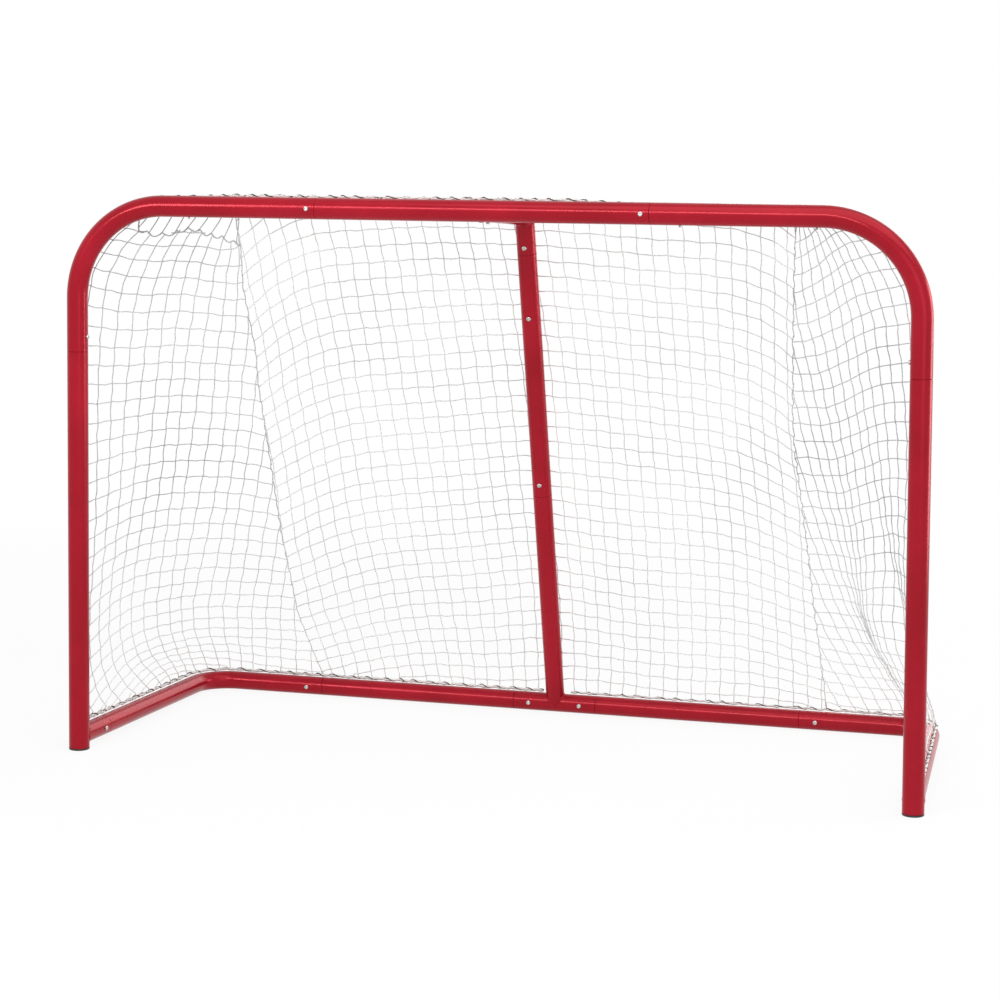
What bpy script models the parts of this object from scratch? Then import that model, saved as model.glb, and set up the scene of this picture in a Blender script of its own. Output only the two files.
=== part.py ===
"""Ice hockey goal: a bolted tube frame with a knotted net. Metres, +Z up, the mouth faces -Y."""

from math import cos, pi, radians, sin, sqrt, tan

import bmesh
import bpy
from mathutils import Matrix, Vector

# Mouth of the goal
MOUTH_WIDTH = 1.83  # clear width between the posts, just under the bends
MOUTH_HEIGHT = 1.22  # floor to the underside of the crossbar
POST_SPLAY = radians(0.75)  # each post leans out towards its foot
MOUTH_TUBE = 0.047
MOUTH_BEND = 0.209  # centre line radius of the two top corners
POST_SEAM_DROP = 0.1175  # below the start of the bend
CROSSBAR_SEAM_X = 0.369

# Base
BASE_TUBE = 0.045
BASE_DEPTH = 0.70  # mouth plane to the rear rail's centre line
BASE_HALF_WIDTH = 0.919  # half the width across the rear corners' centre lines
BASE_BEND = 0.085
STUB_Z = 0.032  # height of the welded stubs' centre line at the posts
STUB_LENGTH = 0.117
RAIL_SEAM_X = 0.605
TEE_HALF_LENGTH = 0.103

# Centre upright and brace
BRACE_BEND = 0.07
BRACE_DROP = radians(3.0)  # the brace falls a little from the crossbar to its bend
BRACE_REACH = 0.361  # crossbar centre to where the brace and the upright would meet
SOCKET_LENGTH = 0.080
UPRIGHT_SEAM_Z = 0.563
BRACE_SEAM_Z = 1.140
SPARE_BOLT_Z = 0.994

# Tube walls and slip joints
WALL = 0.0018
SLIP = 0.0004  # radial clearance of a reduced end in its socket
INSERT = 0.055  # length of a reduced end
SHORT_INSERT = 0.032  # the brace and its socket leave less room
NECK = 0.004  # length of the step down to a reduced end
GAP = 0.0003  # between pieces that touch

# Distance of each bolt from its seam
POST_BOLT = 0.033
CROSSBAR_BOLT = 0.017
UPRIGHT_BOLT = 0.031
BRACE_BOLT = 0.018
RAIL_BOLT = 0.040
TEE_BOLT = 0.039
STUB_BOLT = 0.028
SOCKET_BOLT = 0.020

# Bolts and their weld nuts
BOLT_SHANK = 0.006
BOLT_TIP = 0.003  # shows past the nut
BOLT_HEAD = 0.0105
HEAD_HEIGHT = 0.0036
HEAD_TOP = 0.0066  # flat top of the head
BOLT_HOLE = 0.0066
KEY_SIZE = 0.005  # across the flats of the hexagon recess
KEY_DEPTH = 0.0018
NUT_FLATS = 0.010
NUT_HEIGHT = 0.005

# Plugs in the feet
PLUG_RIM = 0.004
PLUG_DEPTH = 0.016
PLUG_CHAMFER = 0.0013
PLUG_CLEARANCE = 0.0009

# Net and the lacing along the tubes
LACING = 0.012  # outer diameter of the band that the wound cord fills
TOP_LACING_ANGLE = radians(50)  # how far above straight back it sits on the crossbar
BASE_LACING_ANGLE = radians(60)
LACING_START_Z = 0.075  # clear of the stubs
LACING_START_Y = 0.06  # clear of the posts
LACING_END_X = 0.034  # stops either side of the brace and of the upright
NET_THICKNESS = 0.003
LEFT_CREASE_TOP_X = 0.557  # where the net's left seam meets the crossbar
RIGHT_CREASE_TOP_X = 0.670
LEFT_CREASE_FOOT_X = 0.603  # where it meets the rear rail
RIGHT_CREASE_FOOT_X = 0.667
NET_BULGE = 1.5  # how fast the base's plan shape fades up the sides
NET_LIFT = 0.0045  # middle of the net above the brace and behind the upright
NET_WRAP = 0.010  # half width of the strip that lies on them
NET_EDGE = LACING / 2 + 3 * GAP  # from the lacing's centre to the net's edge
SEAM_INSET = 0.0018  # each panel stops this far from a seam
FOLD_INSET = 0.003  # and this far from the fold over the brace

# Mesh fineness
SIDES = 20
MOUTH_STEPS = 12
BASE_STEPS = 7
RIDGE_STEPS = 6
BOLT_SIDES = 10
POST_ROWS = 4
SIDE_CUTS = (2, 3)  # rows where each side of the net is divided into levels
UPRIGHT_ROWS = 7
SIDE_COLUMNS = 6
BACK_COLUMNS = 4

MOUTH_RADIUS = MOUTH_TUBE / 2
BASE_RADIUS = BASE_TUBE / 2
TOP_Z = MOUTH_HEIGHT + MOUTH_RADIUS
TOP_HALF = MOUTH_WIDTH / 2 + MOUTH_RADIUS
BEND_Z = TOP_Z - MOUTH_BEND
REAR_Z = BASE_RADIUS  # the rear rail lies on the floor
CREASE_TOP_X = {-1: LEFT_CREASE_TOP_X, 1: RIGHT_CREASE_TOP_X}
CREASE_FOOT_X = {-1: LEFT_CREASE_FOOT_X, 1: RIGHT_CREASE_FOOT_X}
BOX_FRONT = -MOUTH_RADIUS - GAP - HEAD_HEIGHT
BOX_BACK = BASE_DEPTH + BASE_RADIUS

RED = (0.62, 0.015, 0.03, 1.0)
ZINC = (0.70, 0.70, 0.68, 1.0)
DARK = (0.03, 0.025, 0.025, 1.0)
TWINE = (0.80, 0.80, 0.78, 1.0)

Y_AXIS = Vector((0, 1, 0))
Z_AXIS = Vector((0, 0, 1))
NET_FALL = Vector((0, 0.9, -0.44))  # the way the net leaves the crossbar's lacing


def clear_scene():
    for old in list(bpy.data.objects):
        bpy.data.objects.remove(old, do_unlink=True)


def make_material(name, colour, roughness, metallic):
    material = bpy.data.materials.new(name)
    material.use_nodes = True
    shader = material.node_tree.nodes["Principled BSDF"]
    shader.inputs["Base Color"].default_value = colour
    shader.inputs["Roughness"].default_value = roughness
    shader.inputs["Metallic"].default_value = metallic
    material.diffuse_color = colour
    return material


def add_object(name, mesh, material):
    piece = bpy.data.objects.new(name, mesh)
    bpy.context.scene.collection.objects.link(piece)
    piece.parent = goal_origin
    mesh.materials.clear()
    mesh.materials.append(material)
    return piece


def mesh_from(bm, name):
    mesh = bpy.data.meshes.new(name)
    bm.to_mesh(mesh)
    bm.free()
    mesh.shade_smooth()
    mesh.set_sharp_from_angle(angle=radians(35))
    return mesh


def add_cutter(name, bm):
    """A hidden helper solid that Booleans cut with."""
    mesh = bpy.data.meshes.new(name)
    bm.to_mesh(mesh)
    bm.free()
    helper = bpy.data.objects.new(name, mesh)
    bpy.context.scene.collection.objects.link(helper)
    helper.parent = goal_origin
    helper.hide_render = True
    helper.display_type = "WIRE"
    return helper


def cut(piece, helper):
    boolean = piece.modifiers.new("cut_" + helper.name, "BOOLEAN")
    boolean.operation = "DIFFERENCE"
    boolean.solver = "EXACT"
    boolean.object = helper


def turned_to(direction):
    """Rotation that takes +Z to a direction."""
    return Z_AXIS.rotation_difference(direction).to_matrix().to_4x4()


def rod_cutter(name, start, end, radius, sides=SIDES):
    axis = end - start
    place = Matrix.Translation((start + end) / 2) @ turned_to(axis.normalized())
    bm = bmesh.new()
    bmesh.ops.create_cone(bm, cap_ends=True, segments=sides, radius1=radius,
                          radius2=radius, depth=axis.length, matrix=place)
    return add_cutter(name, bm)


def route(corners, radius, steps):
    """Points along straight runs, with the one inner corner rounded to a radius."""
    if len(corners) == 2:
        return list(corners)
    start, corner, end = corners
    before = (start - corner).normalized()
    after = (end - corner).normalized()
    turn = pi - before.angle(after)
    reach = radius * tan(turn / 2)
    first = corner + before * reach
    middle = corner + (before + after).normalized() * radius / cos(turn / 2)
    spoke = first - middle
    axis = before.cross(after).normalized()
    arc = [middle + Matrix.Rotation(-turn * i / steps, 3, axis) @ spoke
           for i in range(steps + 1)]
    return [start] + arc + [end]


def directions(points):
    """The unit direction of a route at each of its points."""
    runs = [(b - a).normalized() for a, b in zip(points, points[1:])]
    inner = [(a + b).normalized() for a, b in zip(runs, runs[1:])]
    return [runs[0]] + inner + [runs[-1]]


def add_stations(points, radius, male_start, male_end):
    """Pairs of point and radius, with a step down to a reduced end where one is asked for."""
    reduced = radius - WALL - SLIP
    stations = [(point, radius) for point in points]
    if male_start:
        run = (points[1] - points[0]).normalized()
        seam = stations[0][0]
        stations[0:1] = [(seam - run * male_start, reduced), (seam - run * GAP, reduced),
                         (seam + run * NECK, radius)]
    if male_end:
        run = (points[-1] - points[-2]).normalized()
        seam = stations[-1][0]
        stations[-1:] = [(seam - run * NECK, radius), (seam + run * GAP, reduced),
                         (seam + run * male_end, reduced)]
    return stations


def add_tube(name, corners, radius, material, bend=0.0, steps=BASE_STEPS,
             male_start=0.0, male_end=0.0):
    """A hollow tube along a route: rings of points bridged together, then given a wall."""
    stations = add_stations(route(corners, bend, steps), radius, male_start, male_end)
    headings = directions([point for point, _ in stations])
    runs_back = abs(headings[0].y) > abs(headings[0].x) + abs(headings[0].z)
    side = headings[0].cross(Z_AXIS if runs_back else Y_AXIS)
    if len(corners) == 3:
        side = (corners[1] - corners[0]).cross(corners[2] - corners[1])
    side.normalize()
    bm = bmesh.new()
    last = None
    for (point, ring_radius), heading in zip(stations, headings):
        across = heading.cross(side).normalized()
        place = Matrix((side, across, heading)).transposed().to_4x4()
        place.translation = point
        ring = bmesh.ops.create_circle(bm, segments=SIDES, radius=ring_radius, matrix=place)
        edges = list({edge for vert in ring["verts"] for edge in vert.link_edges})
        if last:
            bmesh.ops.bridge_loops(bm, edges=last + edges)
        last = edges
    bmesh.ops.recalc_face_normals(bm, faces=bm.faces)
    bm.faces.ensure_lookup_table()
    face = bm.faces[0]
    if face.normal.dot(face.calc_center_median() - stations[0][0]) < 0:
        bmesh.ops.reverse_faces(bm, faces=bm.faces)
    piece = add_object(name, mesh_from(bm, name), material)
    wall = piece.modifiers.new("wall", "SOLIDIFY")
    wall.thickness = WALL
    wall.offset = -1
    wall.use_even_offset = True
    return piece


def turned_mesh(name, profile, sides):
    """A closed solid of revolution about Z, from a profile that starts and ends on the axis."""
    bm = bmesh.new()
    verts = [bm.verts.new((radius, 0, height)) for radius, height in profile]
    edges = [bm.edges.new(pair) for pair in zip(verts, verts[1:])]
    bmesh.ops.spin(bm, geom=verts + edges, cent=(0, 0, 0), axis=(0, 0, 1),
                   angle=2 * pi, steps=sides, use_merge=True)
    bmesh.ops.remove_doubles(bm, verts=bm.verts, dist=1e-6)
    bmesh.ops.recalc_face_normals(bm, faces=bm.faces)
    return mesh_from(bm, name)


def make_bolt_mesh(length):
    """A button head with a hexagon recess over a plain shank, the head's seat at z = 0."""
    head = BOLT_HEAD / 2
    shank = BOLT_SHANK / 2
    profile = [(0, -length), (shank, -length), (shank, 0), (head, 0), (head, HEAD_HEIGHT / 3),
               (HEAD_TOP / 2, HEAD_HEIGHT), (0, HEAD_HEIGHT)]
    blank = add_object("bolt_blank", turned_mesh("bolt_blank", profile, BOLT_SIDES), zinc)
    bm = bmesh.new()
    corner = KEY_SIZE / sqrt(3)
    place = Matrix.Translation((0, 0, HEAD_HEIGHT))
    bmesh.ops.create_cone(bm, cap_ends=True, segments=6, radius1=corner, radius2=corner,
                          depth=2 * KEY_DEPTH, matrix=place)
    key = add_cutter("key_recess", bm)
    cut(blank, key)
    bpy.context.view_layer.update()
    finished = blank.evaluated_get(bpy.context.evaluated_depsgraph_get())
    mesh = bpy.data.meshes.new_from_object(finished)
    mesh.name = "button_bolt"
    bpy.data.objects.remove(blank, do_unlink=True)
    bpy.data.objects.remove(key, do_unlink=True)
    return mesh


def make_nut_mesh():
    """A hexagon ring, its upper face at z = 0."""
    bm = bmesh.new()
    outer = bmesh.ops.create_circle(bm, segments=6, radius=NUT_FLATS / sqrt(3))["verts"]
    inner = bmesh.ops.create_circle(bm, segments=BOLT_SIDES, radius=BOLT_HOLE / 2)["verts"]
    edges = list({edge for vert in outer + inner for edge in vert.link_edges})
    faces = bmesh.ops.triangle_fill(bm, edges=edges, use_beauty=True)["geom"]
    faces = [item for item in faces if isinstance(item, bmesh.types.BMFace)]
    extruded = bmesh.ops.extrude_face_region(bm, geom=faces)["geom"]
    moved = [item for item in extruded if isinstance(item, bmesh.types.BMVert)]
    bmesh.ops.translate(bm, verts=moved, vec=(0, 0, -NUT_HEIGHT))
    bmesh.ops.recalc_face_normals(bm, faces=bm.faces)
    return mesh_from(bm, "weld_nut")


def fasten(name, centre, outward, radius, tubes, inner_radius):
    """Puts a bolt through one side of a joint, its nut inside the reduced end, and drills both tubes."""
    turn = turned_to(outward)
    bolt = add_object(name + "_bolt", bolt_mesh, zinc)
    bolt.matrix_local = Matrix.Translation(centre + outward * (radius + GAP)) @ turn
    seat = sqrt(inner_radius ** 2 - (NUT_FLATS / sqrt(3)) ** 2) * cos(pi / SIDES) - GAP
    nut = add_object(name + "_nut", nut_mesh, zinc)
    nut.matrix_local = Matrix.Translation(centre + outward * seat) @ turn
    start = centre + outward * (seat - 2 * NUT_HEIGHT)
    end = centre + outward * (radius + 4 * HEAD_HEIGHT)
    drill = rod_cutter(name + "_hole", start, end, BOLT_HOLE / 2, BOLT_SIDES)
    for tube in tubes:
        cut(tube, drill)


def at_height(line, height):
    share = (height - line[0].z) / (line[1].z - line[0].z)
    return line[0].lerp(line[1], share)


def add_plug(name, foot):
    """A moulded plug: a rounded rim under the post and a body pushed up inside it."""
    rim = MOUTH_RADIUS
    body = MOUTH_RADIUS - WALL - PLUG_CLEARANCE
    profile = [(0, 0), (rim - PLUG_CHAMFER, 0), (rim, PLUG_CHAMFER), (rim, PLUG_RIM),
               (body, PLUG_RIM), (body, PLUG_DEPTH), (0, PLUG_DEPTH)]
    plug = add_object(name, turned_mesh(name, profile, SIDES), black)
    plug.location = (foot.x, foot.y, 0)


def front_lacing_route(side, end_x):
    """Centre of the front lacing, behind the post and round the bend up onto the crossbar."""
    foot, corner = post_line(side)
    start = at_height((foot, corner), LACING_START_Z)
    points = route([start, corner, Vector((side * end_x, 0, TOP_Z))], MOUTH_BEND, MOUTH_STEPS)
    turns = [0.0] + [i / MOUTH_STEPS for i in range(MOUTH_STEPS + 1)] + [1.0]
    reach = MOUTH_RADIUS + GAP + LACING / 2
    found = []
    for point, heading, turn in zip(points, directions(points), turns):
        outward = Y_AXIS.cross(heading) * side
        angle = TOP_LACING_ANGLE * turn
        found.append(point + (Y_AXIS * cos(angle) + outward * sin(angle)) * reach)
    return found


def base_stations(side):
    """Points on the base's centre line from the post round to the middle of the rear rail."""
    points = route(base_corners(side), BASE_BEND, BASE_STEPS)
    headings = directions(points)
    return [(point, heading.cross(Z_AXIS) * side) for point, heading in zip(points, headings)]


def base_lacing_route(side):
    reach = BASE_RADIUS + GAP + LACING / 2
    offset = [(point + (outward * cos(BASE_LACING_ANGLE) + Z_AXIS * sin(BASE_LACING_ANGLE)) * reach)
              for point, outward in base_stations(side)]
    first = offset[0] + (offset[1] - offset[0]).normalized() * LACING_START_Y
    last = Vector((side * LACING_END_X, offset[-1].y, offset[-1].z))
    return [first] + offset[1:-1] + [last]


def add_cord(name, points, diameter, material):
    curve = bpy.data.curves.new(name, "CURVE")
    curve.dimensions = "3D"
    curve.bevel_depth = diameter / 2
    curve.bevel_resolution = 2
    curve.use_fill_caps = True
    spline = curve.splines.new("POLY")
    spline.points.add(len(points) - 1)
    for place, point in zip(spline.points, points):
        place.co = (*point, 1.0)
    cord = bpy.data.objects.new(name, curve)
    bpy.context.scene.collection.objects.link(cord)
    cord.parent = goal_origin
    curve.materials.append(material)
    return cord


def resampled(points, shares):
    """Points at shares of the length of a route."""
    passed = length_shares(points)
    found = []
    for share in shares:
        i = next((k for k in range(1, len(passed)) if passed[k] >= share), len(passed) - 1)
        part = (share - passed[i - 1]) / (passed[i] - passed[i - 1])
        found.append(points[i - 1].lerp(points[i], part))
    return found


def add_panel(name, grid, material):
    """A thin closed sheet over a grid of points."""
    bm = bmesh.new()
    rows = [[bm.verts.new(point) for point in row] for row in grid]
    for upper, lower in zip(rows, rows[1:]):
        for a, b, c, d in zip(upper, upper[1:], lower[1:], lower):
            bm.faces.new((a, b, c, d))
    bmesh.ops.recalc_face_normals(bm, faces=bm.faces)
    panel = add_object(name, mesh_from(bm, name), material)
    sheet = panel.modifiers.new("thickness", "SOLIDIFY")
    sheet.thickness = NET_THICKNESS
    sheet.offset = 0
    return panel


def post_line(side):
    """Foot and virtual top corner of a post's centre line."""
    lean = tan(POST_SPLAY)
    foot = Vector((side * (TOP_HALF + lean * BEND_Z), 0, 0))
    corner = Vector((side * (TOP_HALF - lean * MOUTH_BEND), 0, TOP_Z))
    return foot, corner


def base_corners(side):
    start = at_height(post_line(side), STUB_Z)
    corner = Vector((side * BASE_HALF_WIDTH, BASE_DEPTH, REAR_Z))
    return start, corner, Vector((0, BASE_DEPTH, REAR_Z))


def brace_corners():
    """Start on the crossbar, virtual bend and foot of the brace and upright's centre line."""
    start = Vector((0, 0, TOP_Z))
    bend = Vector((0, BRACE_REACH, TOP_Z - BRACE_REACH * tan(BRACE_DROP)))
    return start, bend, Vector((0, BASE_DEPTH, REAR_Z))


def crease_line(side):
    """Seam between the back and a side of the net, from the crossbar down to the rear rail."""
    crossbar_band = Y_AXIS * cos(TOP_LACING_ANGLE) + Z_AXIS * sin(TOP_LACING_ANGLE)
    top = Vector((side * CREASE_TOP_X[side], 0, TOP_Z))
    top += crossbar_band * (MOUTH_RADIUS + GAP + LACING / 2) + NET_FALL * NET_EDGE
    rail_band = Y_AXIS * cos(BASE_LACING_ANGLE) + Z_AXIS * sin(BASE_LACING_ANGLE)
    foot = Vector((side * CREASE_FOOT_X[side], BASE_DEPTH, REAR_Z))
    foot += rail_band * (BASE_RADIUS + GAP + LACING / 2) + Z_AXIS * NET_EDGE
    return top, foot


def side_grid(side):
    """Rows from the front lacing back to the crease; the lowest row follows the base."""
    bent = front_lacing_route(side, CREASE_TOP_X[side])
    held = resampled(bent[:2], [i / POST_ROWS for i in range(POST_ROWS)]) + bent[1:]
    shares = length_shares(held)
    top, foot = crease_line(side)
    inset = Vector((side * SEAM_INSET, 0, 0))
    crease = [foot.lerp(top, share) + inset for share in shares]
    front = []
    for point, heading, end in zip(held, directions(held), crease):
        leaving = (end - point) - heading * heading.dot(end - point)
        front.append(point + leaving.normalized() * NET_EDGE)
    floor_route = [point + Z_AXIS * NET_EDGE for point in base_lacing_route(side)]
    stop = next(i for i, point in enumerate(floor_route) if abs(point.x) < abs(foot.x))
    floor_route = [front[0]] + floor_route[1:stop] + [crease[0]]
    steps = [i / SIDE_COLUMNS for i in range(SIDE_COLUMNS + 1)]
    plan = resampled(floor_route, steps)
    rows = []
    for share, start, end in zip(shares, front, crease):
        fade = (1 - share) ** NET_BULGE
        row = []
        for step, low in zip(steps, plan):
            bulge = low - front[0].lerp(crease[0], step)
            row.append(start.lerp(end, step) + bulge * fade)
        rows.append(row)
    return rows


def level_rows(grid, first, last):
    """The rows of one level of a side, stopped a gap short of the seam with the next."""
    rows = [list(row) for row in grid[first:last + 1]]
    if first > 0:
        rows[0] = [a + (b - a).normalized() * GAP for a, b in zip(rows[0], rows[1])]
    if last < len(grid) - 1:
        rows[-1] = [a + (b - a).normalized() * GAP for a, b in zip(rows[-1], rows[-2])]
    return rows


def ridge_lines():
    """Where the net lies on the brace, and where it lies on the upright, split at the fold."""
    points = route(brace_corners(), BRACE_BEND, RIDGE_STEPS)
    line = [point + Vector((0, -heading.z, heading.y)) * (BASE_RADIUS + NET_LIFT)
            for point, heading in zip(points, directions(points))]
    top, foot = crease_line(1)
    first = line[0].lerp(line[1], (top.y - line[0].y) / (line[1].y - line[0].y))
    last = at_height((line[-2], line[-1]), foot.z + SEAM_INSET)
    fold = 1 + RIDGE_STEPS // 2
    over_brace = resampled([first, line[1]], (0, 0.5)) + line[1:fold + 1]
    start = line[fold] + (line[fold + 1] - line[fold]).normalized() * FOLD_INSET
    shares = [i / UPRIGHT_ROWS for i in range(UPRIGHT_ROWS)]
    down_upright = [start] + line[fold + 1:-2] + resampled([line[-2], last], shares) + [last]
    return over_brace, down_upright


def spread(middle, left, right):
    """One row of points: from a left end, over the strip in the middle, to a right end."""
    wrap = Vector((NET_WRAP, 0, 0))
    steps = [i / BACK_COLUMNS for i in range(BACK_COLUMNS + 1)]
    left_half = [left.lerp(middle - wrap, step) for step in steps]
    right_half = [(middle + wrap).lerp(right, step) for step in steps]
    return left_half + [middle] + right_half


def length_shares(points):
    lengths = [0.0]
    for a, b in zip(points, points[1:]):
        lengths.append(lengths[-1] + (b - a).length)
    return [length / lengths[-1] for length in lengths]


def top_grid():
    """Rows of the flat triangle that lies over the brace."""
    over_brace, _ = ridge_lines()
    ends = {}
    for side in (-1, 1):
        top, _ = crease_line(side)
        corner = top - Vector((side * 2 * FOLD_INSET, 0, 0))
        apex = over_brace[-1] + Vector((side * 1.5 * NET_WRAP, 0, 0))
        ends[side] = [corner.lerp(apex, share) for share in length_shares(over_brace)]
    return [spread(*row) for row in zip(over_brace, ends[-1], ends[1])]


def back_grid():
    """Rows across the sloping back, from one crease over the upright to the other."""
    _, down_upright = ridge_lines()
    ends = {}
    for side in (-1, 1):
        top, foot = crease_line(side)
        inset = Vector((side * SEAM_INSET, 0, 0))
        start = top + (foot - top).normalized() * FOLD_INSET - inset
        ends[side] = [start.lerp(foot - inset, share) for share in length_shares(down_upright)]
    return [spread(*row) for row in zip(down_upright, ends[-1], ends[1])]


clear_scene()
goal_origin = bpy.data.objects.new("goal_origin", None)
goal_origin.location = (0, -(BOX_FRONT + BOX_BACK) / 2, 0)
bpy.context.scene.collection.objects.link(goal_origin)

red_paint = make_material("red_paint", RED, 0.22, 0.0)
zinc = make_material("zinc_plate", ZINC, 0.35, 1.0)
black = make_material("black_plastic", DARK, 0.5, 0.0)
cord = make_material("lacing_cord", DARK, 0.8, 0.0)
twine = make_material("net_twine", TWINE, 0.8, 0.0)

bolt_mesh = make_bolt_mesh(2 * WALL + SLIP + NUT_HEIGHT + BOLT_TIP)
nut_mesh = make_nut_mesh()
mouth_bore = MOUTH_RADIUS - 2 * WALL - SLIP
base_bore = BASE_RADIUS - 2 * WALL - SLIP

crossbar_left = Vector((-CROSSBAR_SEAM_X, 0, TOP_Z))
crossbar_right = Vector((CROSSBAR_SEAM_X, 0, TOP_Z))
crossbar = add_tube("crossbar", [crossbar_left, crossbar_right], MOUTH_RADIUS, red_paint,
                    male_start=INSERT)

tee = add_tube("base_tee", [Vector((-TEE_HALF_LENGTH, BASE_DEPTH, REAR_Z)),
                            Vector((TEE_HALF_LENGTH, BASE_DEPTH, REAR_Z))],
               BASE_RADIUS, red_paint)

for side, hand in ((-1, "left"), (1, "right")):
    line = post_line(side)
    foot, top_corner = line
    seam = at_height(line, BEND_Z - POST_SEAM_DROP)
    rise = (top_corner - foot).normalized()
    inward = rise.cross(Y_AXIS) * side

    tilt_rise = MOUTH_RADIUS * sin(POST_SPLAY)
    post_end = at_height(line, PLUG_RIM + tilt_rise + GAP)
    post = add_tube(hand + "_post", [post_end, seam - rise * GAP], MOUTH_RADIUS, red_paint,
                    male_end=INSERT)
    add_plug(hand + "_foot_plug", foot)

    top_seam = Vector((side * CROSSBAR_SEAM_X, 0, TOP_Z))
    bend_end = top_seam + Vector((side * GAP, 0, 0))
    bend = add_tube(hand + "_bend", [seam, top_corner, bend_end], MOUTH_RADIUS, red_paint,
                    bend=MOUTH_BEND, steps=MOUTH_STEPS, male_end=INSERT if side > 0 else 0.0)
    fasten(hand + "_post", seam + rise * POST_BOLT, inward, MOUTH_RADIUS, (post, bend), mouth_bore)
    fasten(hand + "_crossbar", top_seam - Vector((CROSSBAR_BOLT, 0, 0)), -Y_AXIS,
           MOUTH_RADIUS, (bend, crossbar), mouth_bore)

    start, rear_corner, _ = base_corners(side)
    back = (rear_corner - start).normalized()
    stub_seam = start + back * STUB_LENGTH
    stub = add_tube(hand + "_stub", [start, stub_seam - back * GAP], BASE_RADIUS, red_paint)
    cut(stub, rod_cutter(hand + "_post_cope", foot - rise, foot + rise, MOUTH_RADIUS + GAP))
    rail_seam = Vector((side * RAIL_SEAM_X, BASE_DEPTH, REAR_Z))
    base_bend = add_tube(hand + "_base_bend", [stub_seam, rear_corner, rail_seam],
                         BASE_RADIUS, red_paint, bend=BASE_BEND, male_start=INSERT)
    inner = Vector((-side, 0, 0))
    level_in = back.cross(Z_AXIS) * -side
    fasten(hand + "_stub", stub_seam - back * STUB_BOLT, level_in.normalized(),
           BASE_RADIUS, (stub, base_bend), base_bore)

    tee_seam = Vector((side * TEE_HALF_LENGTH, BASE_DEPTH, REAR_Z))
    rail = add_tube(hand + "_rear_rail", [rail_seam + inner * GAP, tee_seam - inner * GAP],
                    BASE_RADIUS, red_paint, male_start=INSERT, male_end=INSERT)
    fasten(hand + "_rail", rail_seam - inner * RAIL_BOLT, -Y_AXIS, BASE_RADIUS,
           (base_bend, rail), base_bore)
    fasten(hand + "_tee", tee_seam + inner * TEE_BOLT, -Y_AXIS, BASE_RADIUS, (tee, rail), base_bore)

    add_cord(hand + "_front_lacing", front_lacing_route(side, LACING_END_X), LACING, cord)
    add_cord(hand + "_base_lacing", base_lacing_route(side), LACING, cord)
    grid = side_grid(side)
    cuts = (0,) + SIDE_CUTS + (len(grid) - 1,)
    for level, first, last in zip(("low", "middle", "high"), cuts, cuts[1:]):
        add_panel("net_" + hand + "_" + level, level_rows(grid, first, last), twine)

brace_start, brace_bend, upright_foot = brace_corners()
upright = (upright_foot, brace_bend)
up = (brace_bend - upright_foot).normalized()
forward = Vector((0, -up.z, up.y))
upright_seam = at_height(upright, UPRIGHT_SEAM_Z)
brace_seam = at_height(upright, BRACE_SEAM_Z)
lower = add_tube("lower_upright", [upright_foot, upright_seam - up * GAP], BASE_RADIUS,
                 red_paint, male_end=INSERT)
cut(lower, rod_cutter("tee_cope", Vector((-TEE_HALF_LENGTH, BASE_DEPTH, REAR_Z)),
                      Vector((TEE_HALF_LENGTH, BASE_DEPTH, REAR_Z)), BASE_RADIUS + GAP))
upper = add_tube("upper_upright", [upright_seam, brace_seam - up * GAP], BASE_RADIUS,
                 red_paint, male_end=SHORT_INSERT)
away = (brace_bend - brace_start).normalized()
socket_seam = brace_start + away * SOCKET_LENGTH
brace = add_tube("top_brace", [brace_seam, brace_bend, socket_seam + away * GAP], BASE_RADIUS,
                 red_paint, bend=BRACE_BEND, male_end=SHORT_INSERT)
socket = add_tube("crossbar_socket", [brace_start, socket_seam], BASE_RADIUS, red_paint)
cut(socket, rod_cutter("crossbar_cope", crossbar_left, crossbar_right, MOUTH_RADIUS + GAP))
below = Vector((0, away.z, -away.y))
fasten("upright", upright_seam + up * UPRIGHT_BOLT, forward, BASE_RADIUS, (lower, upper), base_bore)
fasten("brace", brace_seam + up * BRACE_BOLT, forward, BASE_RADIUS, (upper, brace), base_bore)
fasten("socket", socket_seam - away * SOCKET_BOLT, below, BASE_RADIUS, (socket, brace), base_bore)
fasten("spare", at_height(upright, SPARE_BOLT_Z), forward, BASE_RADIUS, (upper,), BASE_RADIUS - WALL)

add_panel("net_top", top_grid(), twine)
add_panel("net_back", back_grid(), twine)
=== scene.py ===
# Ice hockey goal: painted tubes held by button bolts, and a knotted net laced to them.
from math import acos, cos, pi, radians, sin, tan

import bpy
import numpy as np
from mathutils import Matrix, Vector


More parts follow.
